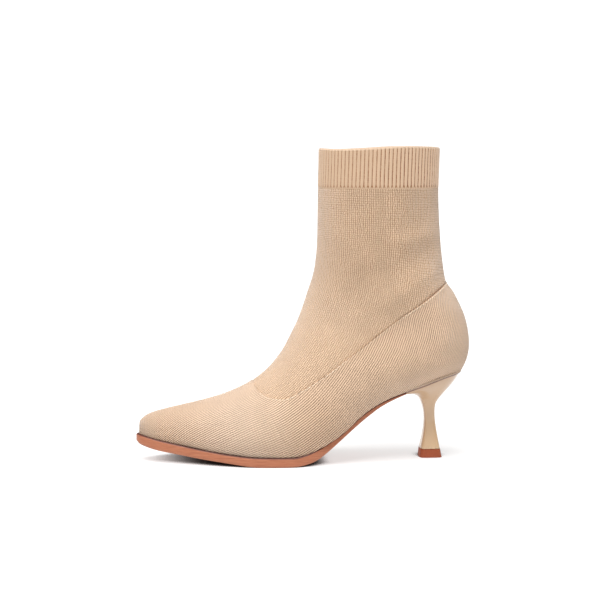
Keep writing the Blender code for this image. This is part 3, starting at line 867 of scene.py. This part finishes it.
# Flat knit of the foot: matt yarn in wales 1.6 mm apart, each wale a row of small stitches, with
# painted shade in the gaps, deepest low down, and a paler painted highlight over the ball
foot_knit = knit_material("flat_knit_of_the_foot", wale=1.6, course=2.0, course_depth=0.14,
                          crown="#ddbea1", groove_shade="#a58166", relief=0.7,
                          unevenness=0.35, gap_shade=GapShade(20, 56, 1.75, 0.8),
                          highlight=PaintedHighlight((-48, -32, 22), 66, 0.22, "#f2e3d4"))
foot.data.materials.append(foot_knit)
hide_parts("upper")
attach(foot, "root")


# Knit leg
# The leg is a tube of stretch knit, wale by wale in line with the shin, that runs from the sewn
# seam up into the cuff. It is thinner and softer than the foot, and dips a little at the seam.

LEG_WALL = 1.9
LEG_ROWS = 75
LEG_COLS = 190
CUFF_BOTTOM = 205.5
SEAM_DIP_WIDTH = 1.5
UNDER_CUFF = 1.0
UNDER_CUFF_INSET = 0.3

# How deep the leg dips at the seam: along in millimetres from the toe, deepest by the counter
Dip = namedtuple("Dip", "along depth")
SEAM_DIP = (
    Dip(85, 0.3),
    Dip(110, 0.3),
    Dip(185, 0.2),
    Dip(205, 0.35),
    Dip(222, 0.65),
    Dip(234, 0.1),
)

# Soft creases of the standing leg. On the outer side a hollow at the back under the cuff, then a
# fold, a trough and a ridge that run forward and down over the ankle; on the inner side a trough.
LEG_CREASES = (
    Crease(211, 196, 201, 176, 1.3, 9.0, -1),
    Crease(218, 171, 194, 167, -1.2, 6.0, -1),
    Crease(215, 159, 170, 138, 1.7, 9.0, -1),
    Crease(218, 142, 183, 120, -1.4, 7.0, -1),
    Crease(228, 160, 200, 150, 1.0, 9.0, 1),
)

leg_net, leg_rows = last_net(with_counter=False)
leg_padded = fitted_net(leg_net, leg_rows["closed"])


def row_at_height(height, cols):
    """The row of the leg's net that reaches a height, for each column."""
    return crossing(np.zeros(len(cols)), np.full(len(cols), leg_padded.shape[0] - 3.0),
                    lambda row: spline(leg_padded, row, cols)[..., 2] > height)


leg_by_seam = rows_by_seam(leg_padded)
reach = {side: seam_reach(leg_padded, leg_by_seam, side)[:, None] for side in SIDE_NAMES}
across = np.linspace(1, -1, LEG_COLS + 1)
low_col = SIDE + across * np.where(across > 0, reach[1], reach[-1])
low_row = np.broadcast_to(leg_by_seam[:, None], low_col.shape)
high_col = np.broadcast_to(SIDE + across * SIDE, (LEG_ROWS, LEG_COLS + 1))
top = row_at_height(CUFF_BOTTOM + UNDER_CUFF, high_col[0])
rise = np.linspace(0, 1, LEG_ROWS + 1)[1:, None]
high_row = leg_by_seam[-1] + rise * (top - leg_by_seam[-1])
leg_row = np.concatenate((low_row, high_row))
leg_col = np.concatenate((low_col, high_col))
leg_points = spline(leg_padded, leg_row, leg_col)
leg_normal = last_normals(leg_padded, leg_row, leg_col)
leg_run = fan_run(leg_padded, leg_rows, leg_row, leg_col)
dip = smooth(column(SEAM_DIP, "along"), column(SEAM_DIP, "depth"), leg_points[..., 0])
dip = dip * np.exp(-(beyond_seam(leg_points) / SEAM_DIP_WIDTH)**2)
inset = UNDER_CUFF_INSET * np.clip((leg_points[..., 2] - CUFF_BOTTOM) / UNDER_CUFF, 0, 1)
leg_points = creased(leg_points, leg_normal, LEG_CREASES) - (dip + inset)[..., None] * leg_normal

leg = grid_piece("knit_leg", leg_points, leg_run)
give_wall(leg, LEG_WALL)

# Stretch knit of the leg: matt yarn in finer, uneven stitches, with painted shade in the gaps that
# deepens a little toward the cuff, and a faint paler painted highlight about the ankle
leg_knit = knit_material("stretch_knit_of_the_leg", wale=1.5, course=1.6, course_depth=0.5,
                         crown="#ddbfa2", groove_shade="#a17e60", relief=0.5,
                         unevenness=2.0, gap_shade=GapShade(105, 165, 0.9, 1.2),
                         highlight=PaintedHighlight((25, 0, 110), 40, 0.06, "#f2e8de"))
leg.data.materials.append(leg_knit)
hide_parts("shaft")
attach(leg, "root")


# Rib cuff
# The top of the leg is knitted as a rib, folded over once so that its rim is round and soft.
# Each rib is one plump wale with a deep narrow gap beside it; the rim carries a paler painted
# highlight.

RIB_COUNT = 84
RIB_STEPS = 8
RIB_DEPTH = 0.55
RIB_CROWN = 0.35
RIB_FADE = 0.06
RIB_END = 1.03
GAP_SHARPNESS = 4
RIM_RADIUS = 1.0
FORK_HEIGHT = 2.8
FORK_SPREAD = 0.55
TUCK = 0.7
GIRTH_HEIGHT = 234.0
GIRTH_POINTS = 721
CUFF_OUTER_ROWS = 26
CUFF_RIM_ROWS = 7

cuff_cols = np.linspace(2 * SIDE, 0, GIRTH_POINTS)
girth = length_along(spline(leg_padded, row_at_height(GIRTH_HEIGHT, cuff_cols), cuff_cols))
rib_at = np.linspace(0, girth[-1], RIB_COUNT * RIB_STEPS + 1)
cuff_cols = np.interp(rib_at, girth, cuff_cols)
cuff_low = row_at_height(CUFF_BOTTOM, cuff_cols)
cuff_high = row_at_height(COLLAR_HEIGHT - RIM_RADIUS, cuff_cols)
rise = np.linspace(0, 1, CUFF_OUTER_ROWS + 1)
cuff_row = cuff_low + rise[:, None] * (cuff_high - cuff_low)
cuff_col = np.broadcast_to(cuff_cols, cuff_row.shape)
outward = last_normals(leg_padded, cuff_row, cuff_col)
outer = creased(spline(leg_padded, cuff_row, cuff_col), outward, LEG_CREASES)

# Plump ribs with narrow gaps; at its foot each gap forks into the plain knit below
from_gap = 1 - np.abs((np.arange(len(cuff_cols)) % RIB_STEPS) / RIB_STEPS * 2 - 1)
fork = FORK_SPREAD * np.clip(1 - (outer[..., 2] - CUFF_BOTTOM) / FORK_HEIGHT, 0, 1)
gap_depth = (1 - np.abs(from_gap - fork))**GAP_SHARPNESS
fade = np.clip(rise / RIB_FADE, 0, 1) * np.clip((RIB_END - rise) / RIB_FADE, 0, 1)
relief = RIB_DEPTH * fade[:, None] * (RIB_CROWN - gap_depth)
outside = outer + relief[..., None] * outward
top_edge = outer[-1]
top_out = outward[-1]
upward = np.array((0.0, 0.0, 1.0))
rim = np.stack([
    top_edge + top_out * (RIM_RADIUS * (np.cos(turn) - 1)) + upward * RIM_RADIUS * np.sin(turn)
    for turn in np.linspace(0, np.pi, CUFF_RIM_ROWS + 2)[1:-1]
])
inside = (outer - (2 * RIM_RADIUS + 0.5 * relief)[..., None] * outward)[::-1]
inside[0] = top_edge - 2 * RIM_RADIUS * top_out
tucked = outer[:1] - TUCK * outward[:1] - TUCK * upward
cuff_points = np.concatenate((tucked, outside, rim, inside, tucked))
around = np.broadcast_to(rib_at, cuff_points.shape[:2])
cuff_run = np.stack((around, cuff_points[..., 2]), axis=-1)

# The soft rim waves a little: along in millimetres from the toe, rise in millimetres
Wave = namedtuple("Wave", "along rise")
RIM_WAVE = (
    Wave(128, 0.3),
    Wave(150, -1.3),
    Wave(172, -0.5),
    Wave(200, 0.9),
    Wave(216, 0.6),
    Wave(231, -0.2),
)
lift = np.clip((cuff_points[..., 2] - CUFF_BOTTOM) / (COLLAR_HEIGHT - CUFF_BOTTOM), 0, 1)
wave = smooth(column(RIM_WAVE, "along"), column(RIM_WAVE, "rise"), cuff_points[..., 0])
cuff_points[..., 2] += wave * lift**2
cuff = grid_piece("rib_cuff", cuff_points, cuff_run)
bpy.ops.object.shade_smooth()

# Rib yarn: the same stretch knit, with the gaps in shade and a paler painted highlight on the rim.
# The ribs carry painted shade toward the front, so they are paler toward the back; the painted
# shade in the gaps deepens toward the back, and patches 7 mm across vary the gaps.
RIB_PITCH = girth[-1] / RIB_COUNT
RIB_STITCH = 1.6
RIB_PATCH = 7 * MM
CUFF_FRONT = 10 * MM
CUFF_BACK = 100 * MM
GAP_START = 1.3
RIM_HIGHLIGHT_FROM = 1.9
RIM_HIGHLIGHT_FULL = 0.9
rib_knit, tree, shader = new_material(
    "ribbed_knit", Roughness=0.88, Specular_IOR_Level=0.25, Sheen_Weight=0.4, Sheen_Roughness=0.4)
run = add_node(tree, "UVMap", uv_map="knit_run")
around, up, _ = add_node(tree, "SeparateXYZ", {0: run}).node.outputs
swing = add_node(tree, "Math", {0: around, 1: RIB_PITCH / 2}, operation="PINGPONG")
crest = add_node(tree, "Math", {0: swing, 1: 2 / RIB_PITCH}, operation="MULTIPLY")
fork = add_node(tree, "MapRange",
                {"Value": up, "From Min": CUFF_BOTTOM, "From Max": CUFF_BOTTOM + FORK_HEIGHT,
                 "To Min": FORK_SPREAD, "To Max": 0.0})
aside = add_node(tree, "Math", {0: crest, 1: fork}, operation="SUBTRACT")
away = add_node(tree, "Math", {0: aside}, operation="ABSOLUTE")
place = add_node(tree, "TexCoord", output="Object")
fuzz = add_node(tree, "TexNoise", {"Vector": place, "Scale": FUZZ_TURNS, "Detail": 2.0})
uneven = add_node(tree, "Math", {0: fuzz, 1: 0.3, 2: away}, operation="MULTIPLY_ADD")
shaded = add_node(tree, "MapRange",
                  {"Value": uneven, "From Min": 0.15, "From Max": 0.46,
                   "To Min": 1.0, "To Max": 0.0})
begun = add_node(tree, "MapRange",
                 {"Value": up, "From Min": CUFF_BOTTOM, "From Max": CUFF_BOTTOM + GAP_START})
# Painted shade by place along the boot: on the ribs toward the front, and deeper in the gaps toward
# the back
level = add_node(tree, "SeparateXYZ", {0: place}, output="X")
backward = add_node(tree, "MapRange",
                    {"Value": level, "From Min": CUFF_FRONT, "From Max": CUFF_BACK,
                     "To Min": 0.65, "To Max": 1.25})
less_rib_shade = add_node(tree, "MapRange",
                   {"Value": level, "From Min": CUFF_FRONT, "From Max": CUFF_BACK})
shaded_rib = add_node(tree, "Mix", {0: less_rib_shade, 6: linear("#c4a78b"), 7: linear("#d6b79b")},
                 output=2, data_type="RGBA")
patchy = add_node(tree, "TexNoise", {"Vector": place, "Scale": 1 / RIB_PATCH, "Detail": 1.0})
gap_shade_strength = add_node(tree, "Math", {0: patchy, 1: backward}, operation="ADD")
gap_shade_amount = add_node(tree, "Math", {0: gap_shade_strength, 1: begun}, operation="MULTIPLY")
shadow = add_node(tree, "Math", {0: shaded, 1: gap_shade_amount}, operation="MULTIPLY")
body = add_node(tree, "Mix", {0: shadow, 6: shaded_rib, 7: linear("#9b7355")},
                output=2, data_type="RGBA", clamp_factor=False)
# Painted highlight: the top of the rim turns to a paler colour
rim_highlight = add_node(tree, "MapRange",
                {"Value": up, "From Min": COLLAR_HEIGHT - RIM_HIGHLIGHT_FROM,
                 "From Max": COLLAR_HEIGHT - RIM_HIGHLIGHT_FULL})
yarn = add_node(tree, "Mix", {0: rim_highlight, 6: body, 7: linear("#cbb097")}, output=2, data_type="RGBA")
stitch = add_node(tree, "Math", {0: up, 1: RIB_STITCH / 2}, operation="PINGPONG")
rough = add_node(tree, "Math", {0: fuzz, 1: 0.5, 2: stitch}, operation="MULTIPLY_ADD")
colour_and_grain(tree, shader, yarn, rough, strength=0.6, depth=0.2)
cuff.data.materials.append(rib_knit)
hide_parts("shaft")
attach(cuff, "root")


# Seam thread
# A row of lock stitches in pale thread holds the turned edge of the foot to the leg. The thread is
# a little slack, so no two stitches lie quite alike, and each one sinks into the knit at its ends.

STITCH_PITCH = 3.0
STITCH_LENGTH = 2.3
STITCH_WIDTH = 0.55
STITCH_HEIGHT = 0.7
STITCH_INSET = 0.75
STITCH_SLACK = 0.12
STITCH_SIZES = (0.8, 1.1)
STITCH_SEED = 7

bpy.ops.object.select_all(action="DESELECT")
bpy.ops.mesh.primitive_uv_sphere_add(segments=8, ring_count=6, radius=0.5)
stitch_form = bpy.context.object
bpy.ops.transform.rotate(value=np.pi / 2, orient_axis="Y", center_override=(0, 0, 0))
bpy.ops.object.transform_apply(location=False, rotation=True, scale=False)
form = np.array([vertex.co for vertex in stitch_form.data.vertices])

# The primitive gives its faces in no fixed order, so they are put in one
form_faces = []
for face in stitch_form.data.polygons:
    corners = list(face.vertices)
    lowest = corners.index(min(corners))
    form_faces.append(corners[lowest:] + corners[:lowest])
form_faces.sort()
bpy.data.objects.remove(stitch_form)

slack = np.random.default_rng(STITCH_SEED)
middle_and_ends = np.array((0.0, -0.5, 0.5)) * STITCH_LENGTH
thread_points = []
thread_faces = []
for side in SIDE_NAMES:
    seam_cols = SIDE + side * seam_reach(foot_padded, foot_by_seam, side, inset=STITCH_INSET)
    line = spline(foot_padded, foot_by_seam, seam_cols)
    normals = last_normals(foot_padded, foot_by_seam, seam_cols)
    run = length_along(line)
    for at in np.arange(STITCH_PITCH, run[-1] - STITCH_PITCH, STITCH_PITCH):
        here, before, after = points_at(at + middle_and_ends, run, line)
        out = points_at(at, run, normals)
        out = out / np.linalg.norm(out)
        ahead = (after - before) / np.linalg.norm(after - before)
        ahead = ahead + np.cross(out, ahead) * slack.normal(0, STITCH_SLACK)
        ahead = ahead / np.linalg.norm(ahead)
        beside = np.cross(out, ahead)
        size = np.array((STITCH_LENGTH, STITCH_WIDTH, STITCH_HEIGHT)) * slack.uniform(*STITCH_SIZES)
        lifted = here + out * EDGE_ROLL
        thread_faces.extend([[len(form) * len(thread_points) + corner for corner in face]
                             for face in form_faces])
        thread_points.append(lifted + (form * size) @ np.stack((ahead, beside, out)))
thread_mesh = bpy.data.meshes.new("seam_thread")
thread_mesh.from_pydata(in_frame(np.concatenate(thread_points)).tolist(), [], thread_faces)
thread = add_piece("seam_thread", thread_mesh)
bpy.ops.object.shade_smooth()

# Spun polyester thread: paler than the knit, with a slight lustre and a twist
TWIST = 0.5 * MM
polyester, tree, shader = new_material("spun_polyester_thread", Roughness=0.55, Sheen_Weight=0.3)
place = add_node(tree, "TexCoord", output="Object")
twist = add_node(tree, "TexNoise", {"Vector": place, "Scale": 1 / TWIST})
tone = add_node(tree, "Mix", {0: twist, 6: linear("#d3b797"), 7: linear("#f8e9d6")},
                output=2, data_type="RGBA")
colour_and_grain(tree, shader, tone, twist, strength=0.4, depth=0.1)
thread.data.materials.append(polyester)
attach(thread, "root")


# Outsole
# A slim sole of resin-bonded leather board, cut to the last and cemented on, its edge dyed
# terracotta and burnished. It thins at the waist and ends at the front lip of the heel.


def crease_sharp_edges(sharpness):
    """Holds the sharp edges of the active piece where they are when it is subdivided."""
    bpy.ops.object.mode_set(mode="EDIT")
    bpy.ops.mesh.select_mode(type="EDGE")
    bpy.ops.mesh.select_all(action="DESELECT")
    bpy.ops.mesh.edges_select_sharp(sharpness=np.radians(sharpness))
    bpy.ops.transform.edge_crease(value=1.0)
    bpy.ops.mesh.select_mode(type="VERT")
    bpy.ops.object.mode_set(mode="OBJECT")


def note_seat_depth(piece):
    """Stores on each point how far it lies below the seat, in millimetres."""
    flat = np.zeros(3 * len(piece.data.vertices))
    piece.data.vertices.foreach_get("co", flat)
    flat = flat.reshape(-1, 3) / MM
    depth = seat_height((flat[:, 0] - TOE_X / MM) / LENGTH) - flat[:, 2]
    piece.data.attributes.new("below_seat", "FLOAT", "POINT").data.foreach_set("value", depth)


# Heights between which the line under the knit goes from its depth at the ball to that at the heel
BALL_LEVEL = 15 * MM
HEEL_LEVEL = 45 * MM


def shaded_feather_line(tree, low_depth, high_depth, shaded_line_colour, colour):
    """Colour that turns dark in a line under the knit, painted shade in a given dark colour, whose
    depth in millimetres goes from one value at the ball to another at the heel."""
    below = add_node(tree, "Attribute", output="Fac", attribute_name="below_seat")
    place = add_node(tree, "TexCoord", output="Object")
    level = add_node(tree, "SeparateXYZ", {0: place}, output="Z")
    depth = add_node(tree, "MapRange",
                     {"Value": level, "From Min": BALL_LEVEL, "From Max": HEEL_LEVEL,
                      "To Min": low_depth, "To Max": high_depth})
    past = add_node(tree, "Math", {0: below, 1: depth}, operation="SUBTRACT")
    clear = add_node(tree, "MapRange", {"Value": past, "From Min": -0.2, "From Max": 0.2})
    return add_node(tree, "Mix", {0: clear, 6: linear(shaded_line_colour), 7: colour},
                    output=2, data_type="RGBA")


# The sole's end runs into the heel's front lip, and its waist is a little fuller underneath
SOLE_TAIL = 1.5
TAIL_BAND = 0.6
FULLER = 1.1
FULLER_ALONG = 168.0
FULLER_WIDTH = 20.0
UNDERSIDE = -0.3
outsole = node_copy("outsole", "leather_outsole")
tail_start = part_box("outsole")[1][0] - TAIL_BAND * MM
underside = [vertex.normal.z < UNDERSIDE for vertex in outsole.data.vertices]
for vertex in outsole.data.vertices:
    along = (vertex.co.x - TOE_X) / MM
    if underside[vertex.index]:
        vertex.co.z -= FULLER * MM * np.exp(-((along - FULLER_ALONG) / FULLER_WIDTH)**2)
    if vertex.co.x > tail_start:
        vertex.co.z += SOLE_TAIL * MM * seat_slope(along)
        vertex.co.x += SOLE_TAIL * MM
crease_sharp_edges(20)
apply_modifier(outsole, "SUBSURF", levels=2, render_levels=2)
apply_modifier(outsole, "BEVEL", width=0.3 * MM, segments=2, limit_method="ANGLE",
               angle_limit=np.radians(25))
bpy.ops.object.shade_smooth_by_angle(angle=np.radians(40))
note_seat_depth(outsole)

# Edge-dyed leather board: satin, with fine streaks along the edge from the pressed layers
STREAK = 0.5 * MM
STREAK_RUN = (0.05, 0.05, 1.0)
sole_board, tree, shader = new_material("edge_dyed_leather_board", Roughness=0.5,
                                        Specular_IOR_Level=0.25,
                                        Coat_Weight=0.05, Coat_Roughness=0.35)
place = add_node(tree, "TexCoord", output="Object")
drawn_out = add_node(tree, "Mapping", {"Vector": place, "Scale": STREAK_RUN})
streaks = add_node(tree, "TexNoise", {"Vector": drawn_out, "Scale": 1 / STREAK, "Detail": 4.0})
dye = add_node(tree, "Mix", {0: streaks, 6: linear("#8e4c35"), 7: linear("#c68563")},
               output=2, data_type="RGBA")
# The dark line atop the sole's edge is partly its burnish and partly painted shade under the knit
edge = shaded_feather_line(tree, 1.0, 1.5, "#55281a", dye)
colour_and_grain(tree, shader, edge, streaks, strength=0.35, depth=0.15)
outsole.data.materials.append(sole_board)
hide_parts("outsole")
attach(outsole, "root")


# Heel
# A moulded heel, sprayed in beige lacquer to match the knit and screwed up through the seat.
# Its round seat narrows to a slim neck and opens again to a rounded square.

heel = node_copy("heel", "lacquered_heel")
crease_sharp_edges(40)
apply_modifier(heel, "SUBSURF", levels=2, render_levels=2)
bpy.ops.object.shade_smooth_by_angle(angle=np.radians(40))
note_seat_depth(heel)

# Sprayed lacquer: smooth semi-gloss, with painted shade that makes it a little darker toward the
# seat, and a faint orange peel in waves of about 3 mm
PEEL_TURNS = 350.0
SEAT_SHADE_FROM = 3.0
SEAT_SHADE_TO = 55.0
lacquer, tree, shader = new_material("sprayed_lacquer", Roughness=0.3, Coat_Weight=0.9,
                                     Coat_Roughness=0.12)
below = add_node(tree, "Attribute", output="Fac", attribute_name="below_seat")
seat_shade = add_node(tree, "MapRange", {"Value": below, "From Min": SEAT_SHADE_FROM, "From Max": SEAT_SHADE_TO})
coat = add_node(tree, "Mix", {0: seat_shade, 6: linear("#b99878"), 7: linear("#d7b690")},
                output=2, data_type="RGBA")
# Painted shade: a dark line under the knit's edge along the top of the heel
edge = shaded_feather_line(tree, 1.3, 1.3, "#7a5340", coat)
place = add_node(tree, "TexCoord", output="Object")
peel = add_node(tree, "TexNoise", {"Vector": place, "Scale": PEEL_TURNS})
colour_and_grain(tree, shader, edge, peel, strength=0.08, depth=0.1)
heel.data.materials.append(lacquer)
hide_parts("heel")
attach(heel, "root")


# Top lift
# A hard rubber lift in the colour of the sole, pinned under the heel, its edges lightly eased.

lift = node_copy("top_lift", "rubber_top_lift")
apply_modifier(lift, "BEVEL", width=0.5 * MM, segments=3, limit_method="ANGLE",
               angle_limit=np.radians(50))
bpy.ops.object.shade_smooth_by_angle(angle=np.radians(40))

# Hard rubber: dull, evenly coloured, with a finely pitted skin, a pit about every 1.4 mm
PIT_TURNS = 700.0
lift_rubber, tree, shader = new_material("hard_rubber", Roughness=0.55, Specular_IOR_Level=0.35)
place = add_node(tree, "TexCoord", output="Object")
pits = add_node(tree, "TexNoise", {"Vector": place, "Scale": PIT_TURNS})
skin = add_node(tree, "Mix", {0: pits, 6: linear("#974727"), 7: linear("#a95736")},
                output=2, data_type="RGBA")
colour_and_grain(tree, shader, skin, pits, strength=0.3, depth=0.1)
lift.data.materials.append(lift_rubber)
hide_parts("top_lift")
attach(lift, "root")


# Studio
# A plain white floor that runs out of sight, white surroundings and large soft lamps.

bpy.context.scene.view_settings.view_transform = "Standard"
bpy.ops.object.select_all(action="DESELECT")
bpy.ops.mesh.primitive_plane_add(size=30.0)
floor = bpy.context.object
floor.name = "studio_floor"

# An opal white floor that glows, painted light that keeps it white, with painted shadow where the
# boot stands close over it or close in front of it
PAINTED_GLOW = 0.65
SHADOW_REACH = 16 * MM
CONTACT_SHADOW_REACH = 14 * MM
WHITE = (1.0, 1.0, 1.0, 1.0)
glowing_floor, tree, shader = new_material("floor_with_painted_light_and_shadow", Roughness=0.9, Specular_IOR_Level=0.1,
                                  Emission_Color=WHITE)
front = add_node(tree, "CombineXYZ", {"Y": -0.985, "Z": 0.17})
open_sky = add_node(tree, "AmbientOcclusion",
                    {"Distance": SHADOW_REACH, "Normal": front}, output="AO", samples=16)
painted_glow = add_node(tree, "MapRange",
                {"Value": open_sky, "From Min": 0.66, "From Max": 0.84, "To Max": PAINTED_GLOW},
                interpolation_type="SMOOTHSTEP")
tree.links.new(painted_glow, shader.inputs["Emission Strength"])
# Painted contact shadow: the floor's colour turns dark close under the boot
close_by = add_node(tree, "AmbientOcclusion",
                    {"Distance": CONTACT_SHADOW_REACH, "Normal": front}, output="AO", samples=16)
painted_contact_shadow = add_node(tree, "MapRange",
                   {"Value": close_by, "From Min": 0.6, "From Max": 0.84,
                    "To Min": 0.05, "To Max": 0.38}, interpolation_type="SMOOTHSTEP")
tree.links.new(painted_contact_shadow, shader.inputs["Base Color"])
floor.data.materials.append(glowing_floor)

# White surroundings, brighter to the eye than the light they give
world = bpy.data.worlds.new("white_studio")
bpy.context.scene.world = world
world.use_nodes = True
tree = world.node_tree
ambient = tree.nodes["Background"]
ambient.inputs["Color"].default_value = WHITE
ambient.inputs["Strength"].default_value = 0.2
seen = add_node(tree, "Background", {"Color": WHITE, "Strength": 1.1})
by_eye = add_node(tree, "LightPath", output="Is Camera Ray")
both = add_node(tree, "MixShader", {0: by_eye, 1: ambient.outputs[0], 2: seen})
tree.links.new(both, tree.nodes["World Output"].inputs["Surface"])

# Broad suns light the whole floor evenly, each as wide in the sky as a softbox close by
Lamp = namedtuple("Lamp", "name from_ strength spread")
LAMPS = (
    Lamp("overhead_softbox", (-0.19, -0.30, 1.0), 4.4, 45.0),
    Lamp("right_fill", (0.8, -0.1, 0.6), 0.22, 70.0),
    Lamp("toe_softbox", (-0.5, 0.4, 0.75), 0.6, 60.0),
    Lamp("front_fill", (-0.15, -1.0, 0.12), 0.35, 60.0),
)
for lamp in LAMPS:
    light = bpy.data.lights.new(lamp.name, "SUN")
    light.energy = lamp.strength
    light.angle = np.radians(lamp.spread)
    holder = bpy.data.objects.new(lamp.name, light)
    bpy.context.scene.collection.objects.link(holder)
    holder.location = lamp.from_
    holder.rotation_euler = (-Vector(lamp.from_)).to_track_quat("-Z", "Y").to_euler()

# The photograph's view: from the outer side, a little toward the toe and from collar height
CAMERA_PLACE = Vector((-115.75, -1295.05, 236.0)) * MM
CAMERA_AIM = Vector((-2.45, 0.0, 121.0)) * MM
camera_data = bpy.data.cameras.new("photo_view")
camera_data.lens = 103.56
camera_data.sensor_width = 36.0
camera_data.clip_start = 0.05
camera = bpy.data.objects.new("photo_view", camera_data)
bpy.context.scene.collection.objects.link(camera)
camera.location = CAMERA_PLACE
camera.rotation_euler = (CAMERA_AIM - CAMERA_PLACE).to_track_quat("-Z", "Y").to_euler()
bpy.context.scene.camera = camera
